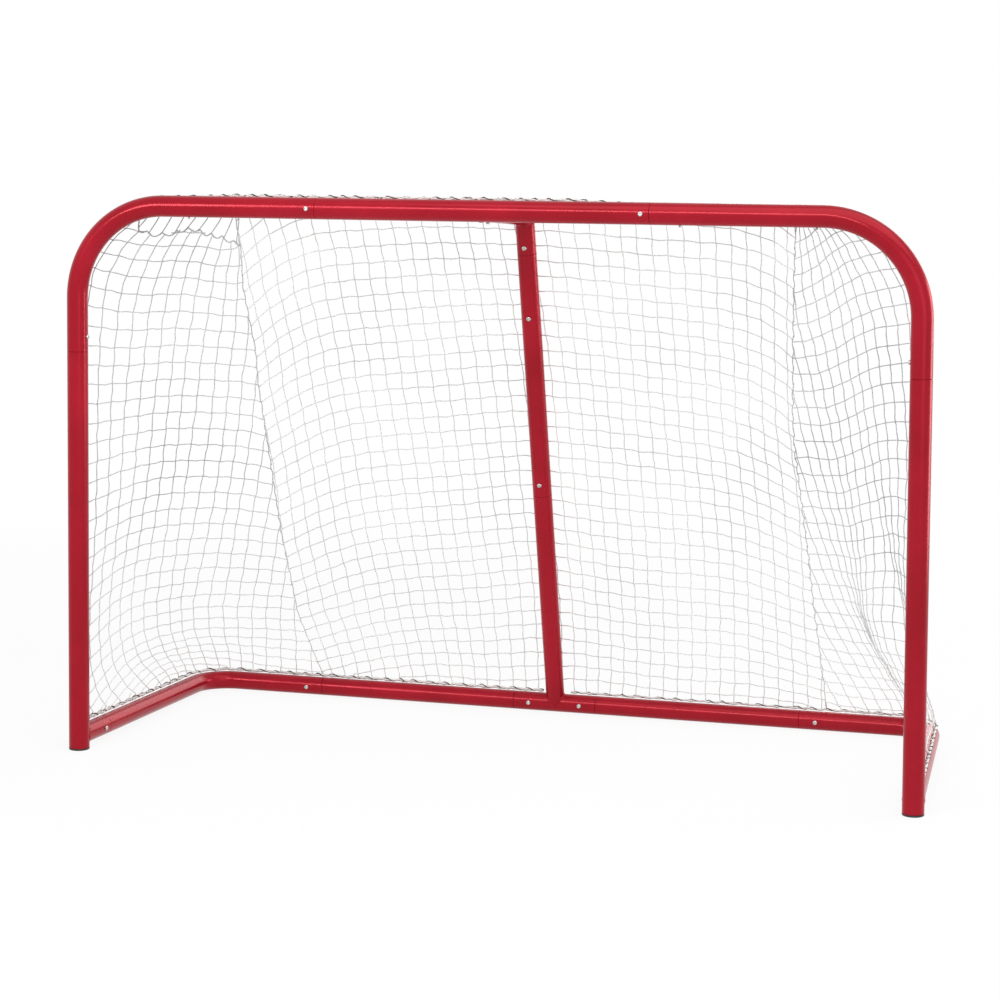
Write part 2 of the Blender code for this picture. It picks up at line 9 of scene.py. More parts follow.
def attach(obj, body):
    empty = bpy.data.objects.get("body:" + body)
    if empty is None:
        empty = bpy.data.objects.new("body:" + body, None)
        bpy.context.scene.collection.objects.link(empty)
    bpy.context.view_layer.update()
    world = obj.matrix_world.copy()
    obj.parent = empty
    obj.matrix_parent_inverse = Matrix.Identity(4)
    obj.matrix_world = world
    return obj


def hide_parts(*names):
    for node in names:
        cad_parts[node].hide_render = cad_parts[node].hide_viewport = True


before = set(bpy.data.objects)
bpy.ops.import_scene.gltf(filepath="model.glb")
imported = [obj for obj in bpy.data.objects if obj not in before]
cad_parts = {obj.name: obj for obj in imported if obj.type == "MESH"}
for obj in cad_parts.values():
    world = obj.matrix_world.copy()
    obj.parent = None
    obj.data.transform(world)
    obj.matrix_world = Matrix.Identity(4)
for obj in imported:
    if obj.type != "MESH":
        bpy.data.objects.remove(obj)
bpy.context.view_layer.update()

# ---- sizes shared by several pieces, in metres, with the mouth's plane at y = 0
goal = {
    "shift": np.array((0, -0.34755, 0)),  # mouth plane to the row frame
    "mouthRadius": 0.0235,
    "baseRadius": 0.0225,
    "wall": 0.0018,
    "slip": 0.0004,
    "gap": 0.0003,
    "topZ": 1.2435,  # crossbar's centre line
    "topHalf": 0.9385,
    "splay": radians(0.75),
    "mouthBend": 0.209,
    "baseDepth": 0.70,
    "baseHalf": 0.919,
    "baseBend": 0.085,
    "rearZ": 0.0225,
    "stubZ": 0.032,
    "braceBend": 0.03,
    "braceDrop": radians(3.0),
    "braceReach": 0.361,
}
xAxis, yAxis, zAxis = np.eye(3)
hands = ((-1, "left"), (1, "right"))


def unit(v):
    # v / |v|, for each vector of an array
    return v / np.linalg.norm(v, axis=-1, keepdims=True)


def mix(a, b, t):
    # a (1 - t) + b t, for points a, b and any array of shares t
    t = np.asarray(t, float)[..., None]
    return a * (1 - t) + b * t


def headingsOf(points):
    # direction at a point: the unit sum of the unit steps before and after it, or the one step at an end
    runs = unit(np.diff(points, axis=0))
    return unit(np.vstack([runs[:1], runs[:-1] + runs[1:], runs[-1:]]))


def lengthsOf(points):
    # the way passed at each point: the sum of |P(k + 1) - P(k)| before it
    return np.concatenate([[0], np.cumsum(np.linalg.norm(np.diff(points, axis=0), axis=1))])


def columnsAt(x, at, values):
    # values(x) column by column, straight between the places at
    return np.stack([np.interp(x, at, values[:, k]) for k in range(values.shape[1])], axis=-1)


def alongPath(points, shares):
    # P(share * whole length), straight between the path's points
    passed = lengthsOf(points)
    return columnsAt(np.asarray(shares) * passed[-1], passed, points)


def roundedPath(corners, radius, steps):
    # straight, arc, straight: arc(a) = middle + (first - middle) cos a - before radius sin a
    if len(corners) == 2:
        return np.array(corners)
    start, corner, end = corners
    before = unit(start - corner)
    after = unit(end - corner)
    turn = pi - acos(float(before @ after))
    first = corner + before * radius * tan(turn / 2)
    middle = corner + unit(before + after) * radius / cos(turn / 2)
    a = np.linspace(0, turn, steps + 1)[:, None]
    arc = middle + (first - middle) * np.cos(a) - before * radius * np.sin(a)
    return np.vstack([start, arc, end])


def atHeight(a, b, z):
    # a + (b - a) (z - a.z) / (b.z - a.z)
    return a + (b - a) * (z - a[2]) / (b[2] - a[2])


def topPoint(x):
    # (x, 0, topZ), on the crossbar's centre line
    return np.array((x, 0, goal["topZ"]))


def rearPoint(x):
    # (x, baseDepth, rearZ), on the centre line of the base's back
    return np.array((x, goal["baseDepth"], goal["rearZ"]))


def postLine(side):
    # foot and corner of a post: x = side (topHalf + tan(splay) (topZ - mouthBend - z)), y = 0
    lean = tan(goal["splay"])
    low = goal["topZ"] - goal["mouthBend"]
    foot = np.array((side * (goal["topHalf"] + lean * low), 0, 0))
    return foot, topPoint(side * (goal["topHalf"] - lean * goal["mouthBend"]))


def baseCorners(side):
    # the post's line at stubZ, the rear corner and the middle of the back
    return [atHeight(*postLine(side), goal["stubZ"]), rearPoint(side * goal["baseHalf"]), rearPoint(0)]


def braceCorners():
    # the crossbar's middle, the bend, which lies reach * tan(drop) lower, and the middle of the back
    bend = np.array((0, goal["braceReach"], goal["topZ"] - goal["braceReach"] * tan(goal["braceDrop"])))
    return [topPoint(0), bend, rearPoint(0)]


# ---- mesh helpers: a part is a dictionary of points, quads, triangles and corner uvs
def gridPart(points, closedRows=True, caps=False):
    # rows of rings: quad (k, a), (k, a+1), (k+1, a+1), (k+1, a); caps add a pole at each end
    rows, sides = points.shape[:2]
    k = np.arange(rows if closedRows else rows - 1)[:, None]
    a = np.arange(sides)[None, :]
    up, over = (k + 1) % rows, (a + 1) % sides
    quads = np.stack([k * sides + a, k * sides + over, up * sides + over, up * sides + a], axis=-1).reshape(-1, 4)
    flat = points.reshape(-1, 3)
    tris = np.zeros((0, 3), int)
    if caps:
        a = np.arange(sides)
        over = (a + 1) % sides
        low, high = rows * sides, rows * sides + 1
        last = (rows - 1) * sides
        flat = np.vstack([flat, points[0].mean(axis=0), points[-1].mean(axis=0)])
        tris = np.vstack([np.stack([np.full(sides, low), over, a], -1),
                          np.stack([np.full(sides, high), last + a, last + over], -1)])
    return {"points": flat, "quads": quads, "tris": tris}


def joined(parts):
    # one part of several: each one's point numbers rise by the points before it; the uvs of all quads,
    # then those of all triangles
    passed = np.cumsum([0] + [len(part["points"]) for part in parts])
    whole = {kind: np.vstack([part[kind] + n for part, n in zip(parts, passed)]) for kind in ("quads", "tris")}
    whole["points"] = np.vstack([part["points"] for part in parts])
    split = [(part["uv"], len(part["quads"]) * 4) for part in parts]
    whole["uv"] = np.vstack([uv[:n] for uv, n in split] + [uv[n:] for uv, n in split])
    return whole


def addObject(name, data):
    # an object that shows the data, in the scene
    made = bpy.data.objects.new(name, data)
    bpy.context.scene.collection.objects.link(made)
    return made


def addPiece(name, part, material, replaced=(), sharp=35):
    # a piece from a part, each point at point + shift, with edges over sharp degrees left sharp
    mesh = bpy.data.meshes.new(name)
    corners = np.concatenate([part["quads"].ravel(), part["tris"].ravel()]).astype(np.int32)
    starts = np.concatenate([np.arange(len(part["quads"])) * 4,
                             len(part["quads"]) * 4 + np.arange(len(part["tris"])) * 3]).astype(np.int32)
    mesh.vertices.add(len(part["points"]))
    mesh.vertices.foreach_set("co", (part["points"] + goal["shift"]).astype(np.float32).ravel())
    mesh.loops.add(len(corners))
    mesh.loops.foreach_set("vertex_index", corners)
    mesh.polygons.add(len(starts))
    mesh.polygons.foreach_set("loop_start", starts)
    if "uv" in part:
        layer = mesh.uv_layers.new(name="UVMap")
        layer.uv.foreach_set("vector", part["uv"].astype(np.float32).ravel())
    mesh.update(calc_edges=True)
    mesh.validate()
    mesh.shade_smooth()
    if sharp:
        mesh.set_sharp_from_angle(angle=radians(sharp))
    mesh.materials.append(material)
    piece = addObject(name, mesh)
    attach(piece, "root")
    if replaced:
        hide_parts(*replaced)


def rings(points, radius, sides, reference, headings=None):
    # ring(k, a) = point(k) + radius(k) (cos a * over(k) + sin a * across(k)), across = heading x over
    head = headingsOf(points) if headings is None else headings
    over = unit(reference - head * np.sum(head * reference, axis=-1, keepdims=True))
    across = np.cross(head, over)
    a = np.linspace(0, 2 * pi, sides, endpoint=False)[None, :, None]
    size = np.broadcast_to(radius, len(points))[:, None, None]
    return points[:, None] + size * (np.cos(a) * over[:, None] + np.sin(a) * across[:, None])


def cordPart(points, radius, sides, reference):
    # a closed cord along points, with uv = (metres along, turns around)
    part = gridPart(rings(points, radius, sides, reference), closedRows=False, caps=True)
    passed = lengthsOf(points)
    k = np.arange(len(points) - 1)[:, None]
    a = np.arange(sides)[None, :]
    around = np.stack([a, a + 1, a + 1, a], -1) / sides + 0 * k[..., None]
    length = np.stack([passed[k], passed[k], passed[k + 1], passed[k + 1]], -1) + 0 * a[..., None]
    uv = np.stack([length, around], -1).reshape(-1, 2)
    a = np.arange(sides)
    none = np.zeros(sides)
    low = np.stack([none, (a + 0.5) / sides, none, (a + 1) / sides, none, a / sides], -1)
    high = low.copy()
    high[:, ::2] = passed[-1]
    high[:, 3], high[:, 5] = a / sides, (a + 1) / sides
    part["uv"] = np.vstack([uv, low.reshape(-1, 2), high.reshape(-1, 2)])
    return part


# ---- materials
def link(tree, source, target):
    # target = source, which is a socket, a number or a colour
    if isinstance(source, bpy.types.NodeSocket):
        tree.links.new(source, target)
    else:
        target.default_value = source


def addNode(tree, kind, **values):
    # a node with its settings, or its inputs where it has no such setting, at the values
    made = tree.nodes.new(kind)
    for key, value in values.items():
        if hasattr(made, key):
            setattr(made, key, value)
        else:
            made.inputs[key.replace("_", " ")].default_value = value
    return made


def maths(tree, operation, *terms):
    # operation(first, second, third)
    made = addNode(tree, "ShaderNodeMath", operation=operation)
    for term, socket in zip(terms, made.inputs):
        link(tree, term, socket)
    return made.outputs[0]


def mixedColour(tree, share, first, second, blend="MIX"):
    # first (1 - share) + second share, with first * second in place of second for MULTIPLY
    made = addNode(tree, "ShaderNodeMix", data_type="RGBA", blend_type=blend)
    for term, socket in ((share, 0), (first, 6), (second, 7)):  # the sockets of a colour mix
        link(tree, term, made.inputs[socket])
    return made.outputs[2]


def mixedShader(tree, share, first, second, output):
    # first (1 - share) + second share, as the tree's surface
    made = tree.nodes.new("ShaderNodeMixShader")
    for term, socket in zip((share, first, second), made.inputs):
        link(tree, term, socket)
    link(tree, made.outputs[0], tree.nodes[output].inputs["Surface"])


def makeGroup(name, inputs, outputs):
    # an empty node group: an input without a value is a vector, and all others are numbers
    group = bpy.data.node_groups.new(name, "ShaderNodeTree")
    for label, value in inputs.items():
        kind = "NodeSocketVector" if value is None else "NodeSocketFloat"
        socket = group.interface.new_socket(label, in_out="INPUT", socket_type=kind)
        if value is not None:
            socket.default_value = value
    for label in outputs:
        group.interface.new_socket(label, in_out="OUTPUT", socket_type="NodeSocketFloat")
    return group, group.nodes.new("NodeGroupInput"), group.nodes.new("NodeGroupOutput")


def mottleGroup():
    # patch = noise(place * patch scale), broad clouds; grain = noise(place * grain scale), both 0 to 1
    scales = {"Vector": None, "Patch Scale": 5.0, "Grain Scale": 400.0}
    group, given, out = makeGroup("mottle", scales, ("Patch", "Grain"))
    for label, detail, roughness in (("Patch", 3.0, 0.55), ("Grain", 2.0, 0.5)):
        noise = addNode(group, "ShaderNodeTexNoise", Detail=detail, Roughness=roughness)
        link(group, given.outputs["Vector"], noise.inputs["Vector"])
        link(group, given.outputs[label + " Scale"], noise.inputs["Scale"])
        link(group, noise.outputs["Fac"], out.inputs[label])
    return group


def twistGroup():
    # plies that wind round a cord: height = 0.5 + 0.5 sin(2 pi (turns around * plies + length / lay))
    group, given, out = makeGroup("twist", {"UV": None, "Plies": 3.0, "Lay": 0.012}, ("Height",))
    parts = addNode(group, "ShaderNodeSeparateXYZ")
    link(group, given.outputs["UV"], parts.inputs[0])
    turns = maths(group, "MULTIPLY", parts.outputs["Y"], given.outputs["Plies"])
    passed = maths(group, "DIVIDE", parts.outputs["X"], given.outputs["Lay"])
    wave = maths(group, "SINE", maths(group, "MULTIPLY", maths(group, "ADD", turns, passed), 2 * pi))
    link(group, maths(group, "MULTIPLY_ADD", wave, 0.5, 0.5), out.inputs["Height"])
    return group


mottle = mottleGroup()
twist = twistGroup()


def startMaterial(name, roughness, metallic=0.0, specular=0.5):
    # a material whose shader has these constants, its tree, its shader and its coordinates
    material = bpy.data.materials.new(name)
    material.use_nodes = True
    tree = material.node_tree
    shader = tree.nodes["Principled BSDF"]
    for label, value in (("Roughness", roughness), ("Metallic", metallic), ("Specular IOR Level", specular)):
        shader.inputs[label].default_value = value
    return material, tree, shader, tree.nodes.new("ShaderNodeTexCoord").outputs


def useGroup(tree, group, place, *values):
    # the outputs of group(place, values)
    made = addNode(tree, "ShaderNodeGroup", node_tree=group)
    for value, socket in zip((place, *values), made.inputs):
        link(tree, value, socket)
    return made.outputs


def colourRamp(tree, source, stops):
    # straight between the colours of the stops on each side of source
    ramp = tree.nodes.new("ShaderNodeValToRGB")
    elements = ramp.color_ramp.elements
    for element, (place, colour) in zip(elements, stops):
        element.position, element.color = place, (*colour, 1)
    for place, colour in stops[2:]:
        elements.new(place).color = (*colour, 1)
    link(tree, source, ramp.inputs["Fac"])
    return ramp.outputs["Color"]


def remap(tree, source, low, high, fromLow=0.0, fromHigh=1.0):
    # low + (high - low) (source - fromLow) / (fromHigh - fromLow), kept between low and high
    made = addNode(tree, "ShaderNodeMapRange", From_Min=fromLow, From_Max=fromHigh, To_Min=low, To_Max=high)
    link(tree, source, made.inputs["Value"])
    return made.outputs["Result"]


def bumpFrom(tree, source, shader, strength, distance):
    # the surface raised by source * distance, with the tilt that this makes times strength
    bump = addNode(tree, "ShaderNodeBump", Strength=strength, Distance=distance)
    link(tree, source, bump.inputs["Height"])
    link(tree, bump.outputs["Normal"], shader.inputs["Normal"])


def cloudyMaterial(name, look):
    # colour = ramp(patch), roughness = remap(patch or grain), bump = grain
    material, tree, shader, where = startMaterial(name, *look["shader"])
    cloud = useGroup(tree, mottle, where["Object"], *look["scales"])
    link(tree, colourRamp(tree, cloud["Patch"], look["stops"]), shader.inputs["Base Color"])
    link(tree, remap(tree, cloud[look["glossBy"]], *look["roughness"]), shader.inputs["Roughness"])
    bumpFrom(tree, cloud["Grain"], shader, *look["bump"])
    return material


matt = (0.85, 0.0, 0.2)  # roughness, metallic and specular of fibre


def twineMaterial(name, valley, crown, plies, lay, darkPatchDepth, pale=0.0):
    # twisted fibre: dark between the plies and pale on their crowns, a painted shade of the twist, times broad darker
    # patches at random; paler near the floor, a painted light from the floor
    look = {"scales": (4.0, 900.0), "darkPatchColour": (0.42, 0.42, 0.44, 1), "darkPatchOver": (0.42, 0.68),
            "paintedFloorLight": (0.92, 0.92, 0.91, 1), "paintedFloorLightOver": (0.08, 0.55), "fuzz": 0.5, "bump": (0.6, 0.0005)}
    material, tree, shader, where = startMaterial(name, *matt)
    ply = useGroup(tree, twist, where["UV"], plies, lay)["Height"]
    cloud = useGroup(tree, mottle, where["Object"], *look["scales"])
    # painted shade: valley colour in the grooves between the plies, crown colour on their crowns
    fibre = colourRamp(tree, ply, [(0.0, valley), (0.6, crown)])
    # broad darker patches at random, over the fibre
    shade = remap(tree, cloud["Patch"], 0.0, darkPatchDepth, *look["darkPatchOver"])
    patchedFibre = mixedColour(tree, shade, fibre, look["darkPatchColour"], "MULTIPLY")
    place = addNode(tree, "ShaderNodeSeparateXYZ")
    link(tree, where["Object"], place.inputs[0])
    # painted light from the floor: share pale of the pale colour at z 0.08 m and under, none from z 0.55 m up
    low = remap(tree, place.outputs["Z"], pale, 0.0, *look["paintedFloorLightOver"])
    link(tree, mixedColour(tree, low, patchedFibre, look["paintedFloorLight"]), shader.inputs["Base Color"])
    bumpFrom(tree, maths(tree, "MULTIPLY_ADD", cloud["Grain"], look["fuzz"], ply), shader, *look["bump"])
    return material


def fleckMaterial():
    # lacing cord: dark stretches between pale worn ones, and pale flecks where share patch + ply height is near 1;
    # through the ply height the grooves between the plies are darker, a painted shade
    look = {"dark": (0.030, 0.018, 0.018), "brown": (0.085, 0.045, 0.040), "fleck": (0.46, 0.43, 0.40),
            "worn": (0.74, 0.71, 0.68, 1), "wornOver": (0.56, 0.61), "plies": 2.0, "lay": 0.016, "share": 0.9,
            "flecks": (70.0, 900.0), "stretches": (38.0, 300.0), "bump": (0.6, 0.0006)}
    material, tree, shader, where = startMaterial("lacingCord", *matt)
    ply = useGroup(tree, twist, where["UV"], look["plies"], look["lay"])["Height"]
    patch = useGroup(tree, mottle, where["Object"], *look["flecks"])["Patch"]
    stops = [(0.45, look["dark"]), (0.9, look["brown"]), (1.0, look["brown"]), (0.98, look["fleck"])]
    # the ply term darkens the grooves between the plies: painted shade
    cord = colourRamp(tree, maths(tree, "MULTIPLY_ADD", patch, look["share"], ply), stops)
    stretch = useGroup(tree, mottle, where["Object"], *look["stretches"])["Patch"]
    worn = remap(tree, stretch, 0.0, 1.0, *look["wornOver"])
    link(tree, mixedColour(tree, worn, cord, look["worn"]), shader.inputs["Base Color"])
    bumpFrom(tree, ply, shader, *look["bump"])
    return material


# shader: roughness, metallic and specular; roughness: from, to, and over which values of the cloud
redPaint = cloudyMaterial("redPaint", {
    "shader": (0.2, 0.22, 0.2), "scales": (6.0, 420.0), "glossBy": "Patch", "roughness": (0.17, 0.25, 0.3, 0.7),
    "stops": [(0.30, (0.310, 0.0032, 0.012)), (0.52, (0.355, 0.0044, 0.016)), (0.75, (0.405, 0.0070, 0.021))],
    "bump": (0.08, 0.0004)})
zincPlate = cloudyMaterial("zincPlate", {
    "shader": (0.35, 1.0), "scales": (260.0, 1800.0), "glossBy": "Patch", "roughness": (0.25, 0.5),
    "stops": [(0.3, (0.34, 0.33, 0.31)), (0.6, (0.62, 0.62, 0.60))], "bump": (0.15, 0.0001)})
blackPlastic = cloudyMaterial("blackPlastic", {
    "shader": (0.5,), "scales": (90.0, 1500.0), "glossBy": "Grain", "roughness": (0.45, 0.62),
    "stops": [(0.4, (0.012, 0.011, 0.011)), (0.75, (0.040, 0.036, 0.034))], "bump": (0.3, 0.0002)})
lacingCord = fleckMaterial()
# the last two numbers are the share of darker patches and the share of painted light from the floor
hemTwine = twineMaterial("hemTwine", (0.66, 0.66, 0.64), (0.90, 0.90, 0.88), 3.0, 0.012, 0.3)
backTwine = twineMaterial("backTwine", (0.60, 0.61, 0.60), (0.84, 0.85, 0.84), 3.0, 0.010, 0.45, 0.4)
# the same twine as the back's, given darker colours: painted shade on the side panels
shadedSideTwine = twineMaterial("shadedSideTwine", (0.46, 0.47, 0.48), (0.70, 0.71, 0.72), 3.0, 0.010, 0.55, 0.85)
# darker grey: painted shade of the bunched threads along the seams
shadedSeamTwine = twineMaterial("shadedSeamTwine", (0.36, 0.36, 0.37), (0.58, 0.58, 0.59), 2.0, 0.014, 0.5, 0.5)
for name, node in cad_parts.items():
    for holder in node.material_slots:
        holder.material = zincPlate if name.endswith("_nut") else redPaint
print("materials made")


# ---- tubes
tubes = {
    "sides": 40,
    "bevel": 0.0004,
    "support": 0.004,  # from a run's end to the station that keeps its shading straight
    "copedSupport": 0.045,  # the same beyond a cope
    "longRun": 0.05,
    "neck": 0.0007,  # paint fills most of the groove at a joint
    "insert": 0.055,
    "shortInsert": 0.032,
    "crossbarSeam": 0.369,
    "postSeamDrop": 0.1175,
    "stubLength": 0.117,
    "railSeam": 0.605,
    "teeHalf": 0.103,
    "socketLength": 0.080,
    "uprightSeamZ": 0.563,
    "braceSeamZ": 1.140,
    "plugRim": 0.004,
    "bead": 0.0021,  # radius of a weld bead, its ripples round the tube and its rings
    "ripples": 33,
    "beadRings": 132,
    # from a joint's seam to its bolt; the spare bolt's height
    "bolts": {"post": 0.033, "crossbar": 0.017, "stub": 0.028, "rail": 0.040, "tee": 0.039, "upright": 0.031,
              "brace": 0.018, "socket": 0.020, "spareZ": 0.994},
}


def copeLengths(offsets, heading, axis, radius):
    # how far along heading a point at offset meets the other tube: |offset + heading t| = radius, square to its axis
    w = offsets - axis * (offsets @ axis)[..., None]
    n = heading - axis * (heading @ axis)
    square = n @ n
    half = w @ n
    root = np.sqrt(np.maximum(half ** 2 - square * (np.sum(w * w, axis=-1) - radius ** 2), 0))
    return (root - half) / square


def withSupports(points, radii, heads, first):
    # two more stations near the ends of every long straight run: P = mix(before, after, support / run)
    found = [(points[0], radii[0], heads[0])]
    for k in range(len(points) - 1):
        run = np.linalg.norm(points[k + 1] - points[k])
        if run > tubes["longRun"]:
            near = first if k == 1 else tubes["support"]
            for t in (near / run, 1 - tubes["support"] / run):
                size = radii[k] * (1 - t) + radii[k + 1] * t
                found.append((mix(points[k], points[k + 1], t), size, unit(points[k + 1] - points[k])))
        found.append((points[k + 1], radii[k + 1], heads[k + 1]))
    return [np.array(column) for column in zip(*found)]


def addTube(name, corners, radius, bend=0.0, steps=0, maleStart=0.0, maleEnd=0.0, cope=None):
    # outer skin forward at radius and bore back at radius - wall, as one loop of rings closed on itself
    path = roundedPath(corners, bend, steps)
    bevel, neck, gap = tubes["bevel"], tubes["neck"], goal["gap"]
    reduced = radius - goal["wall"] - goal["slip"]
    firstRun, lastRun = unit(path[1] - path[0]), unit(path[-1] - path[-2])

    def ending(male):
        # stations from the open end towards the tube's middle, as (distance inward, radius)
        if not male:
            return [(0, radius - bevel), (bevel, radius)]
        return [(-male, reduced - bevel), (-male + bevel, reduced), (-gap, reduced),
                (neck * 0.4, radius - bevel), (neck, radius)]

    starts, ends = ending(maleStart), ending(maleEnd)[::-1]
    points = [path[0] + firstRun * d for d, _ in starts] + list(path[1:-1]) + [path[-1] - lastRun * d for d, _ in ends]
    radii = [r for _, r in starts] + [radius] * (len(path) - 2) + [r for _, r in ends]
    heads = [firstRun] * len(starts) + list(headingsOf(path)[1:-1]) + [lastRun] * len(ends)
    near = tubes["copedSupport"] if cope else tubes["support"]
    points, radii, heads = withSupports(np.array(points), radii, heads, near)
    upright = abs(firstRun[2]) >= 0.7
    beside = corners[2] - corners[1] if len(corners) == 3 else yAxis if upright else zAxis
    side = np.cross(corners[1] - corners[0] if len(corners) == 3 else firstRun, beside)
    side = np.broadcast_to(unit(side), points.shape)
    outer = rings(points, radii, tubes["sides"], side, heads)
    inner = rings(points, np.where(radii > reduced + 1e-6, radius, reduced) - goal["wall"], tubes["sides"], side, heads)
    if cope:
        axis, reach = cope
        for skin in (outer, inner):
            shift = copeLengths(skin[1] - points[1], firstRun, axis, reach + gap)
            skin[:2] += firstRun * shift[:, None]
    addPiece("tube_" + name, gridPart(np.concatenate([outer, inner[::-1]])), redPaint, [name])


def addWeld(name, start, heading, radius, axis, reach):
    # bead(a) = start + offset(a) + heading t(a), where two tubes meet; size = bead (1 + 0.14 cos(ripples a) + ...)
    a = np.linspace(0, 2 * pi, tubes["beadRings"], endpoint=False)
    over = unit(np.cross(heading, axis))
    across = np.cross(heading, over)
    offsets = radius * (np.cos(a)[:, None] * over + np.sin(a)[:, None] * across)
    points = start + offsets + heading * copeLengths(offsets, heading, axis, reach)[:, None]
    head = unit(np.roll(points, -1, axis=0) - np.roll(points, 1, axis=0))
    size = tubes["bead"] * (1 + 0.14 * np.cos(tubes["ripples"] * a) + 0.10 * np.sin(5 * a))
    skin = rings(points, size, 8, unit(offsets), head)
    addPiece("weld_" + name, gridPart(skin), redPaint)


mouthRadius, baseRadius, gap, topZ = goal["mouthRadius"], goal["baseRadius"], goal["gap"], goal["topZ"]
insert, shortInsert, fromSeam = tubes["insert"], tubes["shortInsert"], tubes["bolts"]
addTube("crossbar", [topPoint(-tubes["crossbarSeam"]), topPoint(tubes["crossbarSeam"])], mouthRadius, maleStart=insert)
addTube("base_tee", [rearPoint(-tubes["teeHalf"]), rearPoint(tubes["teeHalf"])], baseRadius)
bolts = {}
for side, hand in hands:
    foot, corner = postLine(side)
    rise = unit(corner - foot)
    seam = atHeight(foot, corner, topZ - goal["mouthBend"] - tubes["postSeamDrop"])
    postEnd = atHeight(foot, corner, tubes["plugRim"] + mouthRadius * sin(goal["splay"]) + gap)
    addTube(hand + "_post", [postEnd, seam - rise * gap], mouthRadius, maleEnd=insert)
    topSeam = topPoint(side * tubes["crossbarSeam"])
    addTube(hand + "_bend", [seam, corner, topSeam + xAxis * side * gap], mouthRadius, goal["mouthBend"], 40,
            maleEnd=insert if side > 0 else 0.0)
    start, rearCorner, _ = baseCorners(side)
    back = unit(rearCorner - start)
    stubSeam = start + back * tubes["stubLength"]
    addTube(hand + "_stub", [start, stubSeam - back * gap], baseRadius, cope=(rise, mouthRadius))
    addWeld(hand + "_stub", start, back, baseRadius, rise, mouthRadius)
    railSeam = rearPoint(side * tubes["railSeam"])
    addTube(hand + "_base_bend", [stubSeam, rearCorner, railSeam], baseRadius, goal["baseBend"], 28, maleStart=insert)
    inner = -side * xAxis
    teeSeam = rearPoint(side * tubes["teeHalf"])
    addTube(hand + "_rear_rail", [railSeam + inner * gap, teeSeam - inner * gap], baseRadius,
            maleStart=insert, maleEnd=insert)
    bolts[hand + "_post"] = (seam + rise * fromSeam["post"], np.cross(rise, yAxis) * side, mouthRadius)
    bolts[hand + "_crossbar"] = (topSeam - xAxis * fromSeam["crossbar"], -yAxis, mouthRadius)
    bolts[hand + "_stub"] = (stubSeam - back * fromSeam["stub"], unit(np.cross(back, zAxis) * -side), baseRadius)
    bolts[hand + "_rail"] = (railSeam - inner * fromSeam["rail"], -yAxis, baseRadius)
    bolts[hand + "_tee"] = (teeSeam + inner * fromSeam["tee"], -yAxis, baseRadius)

braceStart, braceBend, uprightFoot = braceCorners()
up = unit(braceBend - uprightFoot)
away = unit(braceBend - braceStart)
uprightSeam = atHeight(uprightFoot, braceBend, tubes["uprightSeamZ"])
braceSeam = atHeight(uprightFoot, braceBend, tubes["braceSeamZ"])
socketSeam = braceStart + away * tubes["socketLength"]
addTube("lower_upright", [uprightFoot, uprightSeam - up * gap], baseRadius, maleEnd=insert, cope=(xAxis, baseRadius))
addTube("upper_upright", [uprightSeam, braceSeam - up * gap], baseRadius, maleEnd=shortInsert)
addTube("top_brace", [braceSeam, braceBend, socketSeam + away * gap], baseRadius, goal["braceBend"], 20,
        maleEnd=shortInsert)
addTube("crossbar_socket", [braceStart, socketSeam], baseRadius, cope=(xAxis, mouthRadius))
addWeld("upright", uprightFoot, up, baseRadius, xAxis, baseRadius)
addWeld("socket", braceStart, away, baseRadius, xAxis, mouthRadius)
forward = np.array((0, -up[2], up[1]))
bolts["upright"] = (uprightSeam + up * fromSeam["upright"], forward, baseRadius)
bolts["brace"] = (braceSeam + up * fromSeam["brace"], forward, baseRadius)
bolts["socket"] = (socketSeam - away * fromSeam["socket"], np.array((0, away[2], -away[1])), baseRadius)
bolts["spare"] = (atHeight(uprightFoot, braceBend, fromSeam["spareZ"]), forward, baseRadius)
print("tubes made")


# ---- bolts and foot plugs
bolt = {"head": 0.00525, "top": 0.0033, "height": 0.0036, "shank": 0.003, "length": 0.0120, "key": 0.0025,
        "keyDepth": 0.0019, "sides": 36}


def turnedPart(profile, sides, hexFrom=None, hexTo=None):
    # a profile of (radius, height) turned about z; rows between hexFrom and hexTo are hexagons,
    # whose radius is r / cos((a mod 60 deg) - 30 deg)
    profile = np.array(profile)
    a = np.linspace(0, 2 * pi, sides, endpoint=False)
    radius = np.repeat(profile[1:-1, :1], sides, axis=1)
    if hexFrom is not None:
        radius[hexFrom - 1:hexTo] /= np.cos((a + 1e-9) % (pi / 3) - pi / 6)
    skin = np.stack([radius * np.cos(a), radius * np.sin(a), np.repeat(profile[1:-1, 1:], sides, axis=1)], axis=-1)
    part = gridPart(skin, closedRows=False, caps=True)
    part["points"][-2] = (0, 0, profile[0, 1])
    part["points"][-1] = (0, 0, profile[-1, 1])
    return part


def boltPart():
    # button head: radius = top + (head - top) cos b, height = h (0.3 + 0.7 sin b); its key hole is a hexagon
    h, r, t = bolt["height"], bolt["head"], bolt["top"]
    shank, length, key, deep = (bolt[value] for value in ("shank", "length", "key", "keyDepth"))
    dome = [(t + (r - t) * cos(x), h * 0.30 + h * 0.70 * sin(x)) for x in np.linspace(0, pi / 2, 7)]
    profile = [(0, -length), (shank - 0.0004, -length), (shank, -length + 0.0005), (shank, 0)]
    profile += [(r - 0.0002, 0), (r, 0.0003)] + dome
    profile += [(key + 0.00015, h), (key, h - 0.0002), (key, h - deep), (0, h - deep - 0.0006)]
    return turnedPart(profile, bolt["sides"], len(profile) - 4, len(profile) - 2)


blank = boltPart()
for name, (centre, outward, radius) in bolts.items():
    first = unit(np.cross(outward, xAxis + 0.3 * zAxis))
    turn = np.stack([first, np.cross(outward, first), outward])
    made = dict(blank, points=blank["points"] @ turn + centre + outward * (radius + gap))
    addPiece("bolt_" + name, made, zincPlate, [name + "_bolt"], sharp=40)

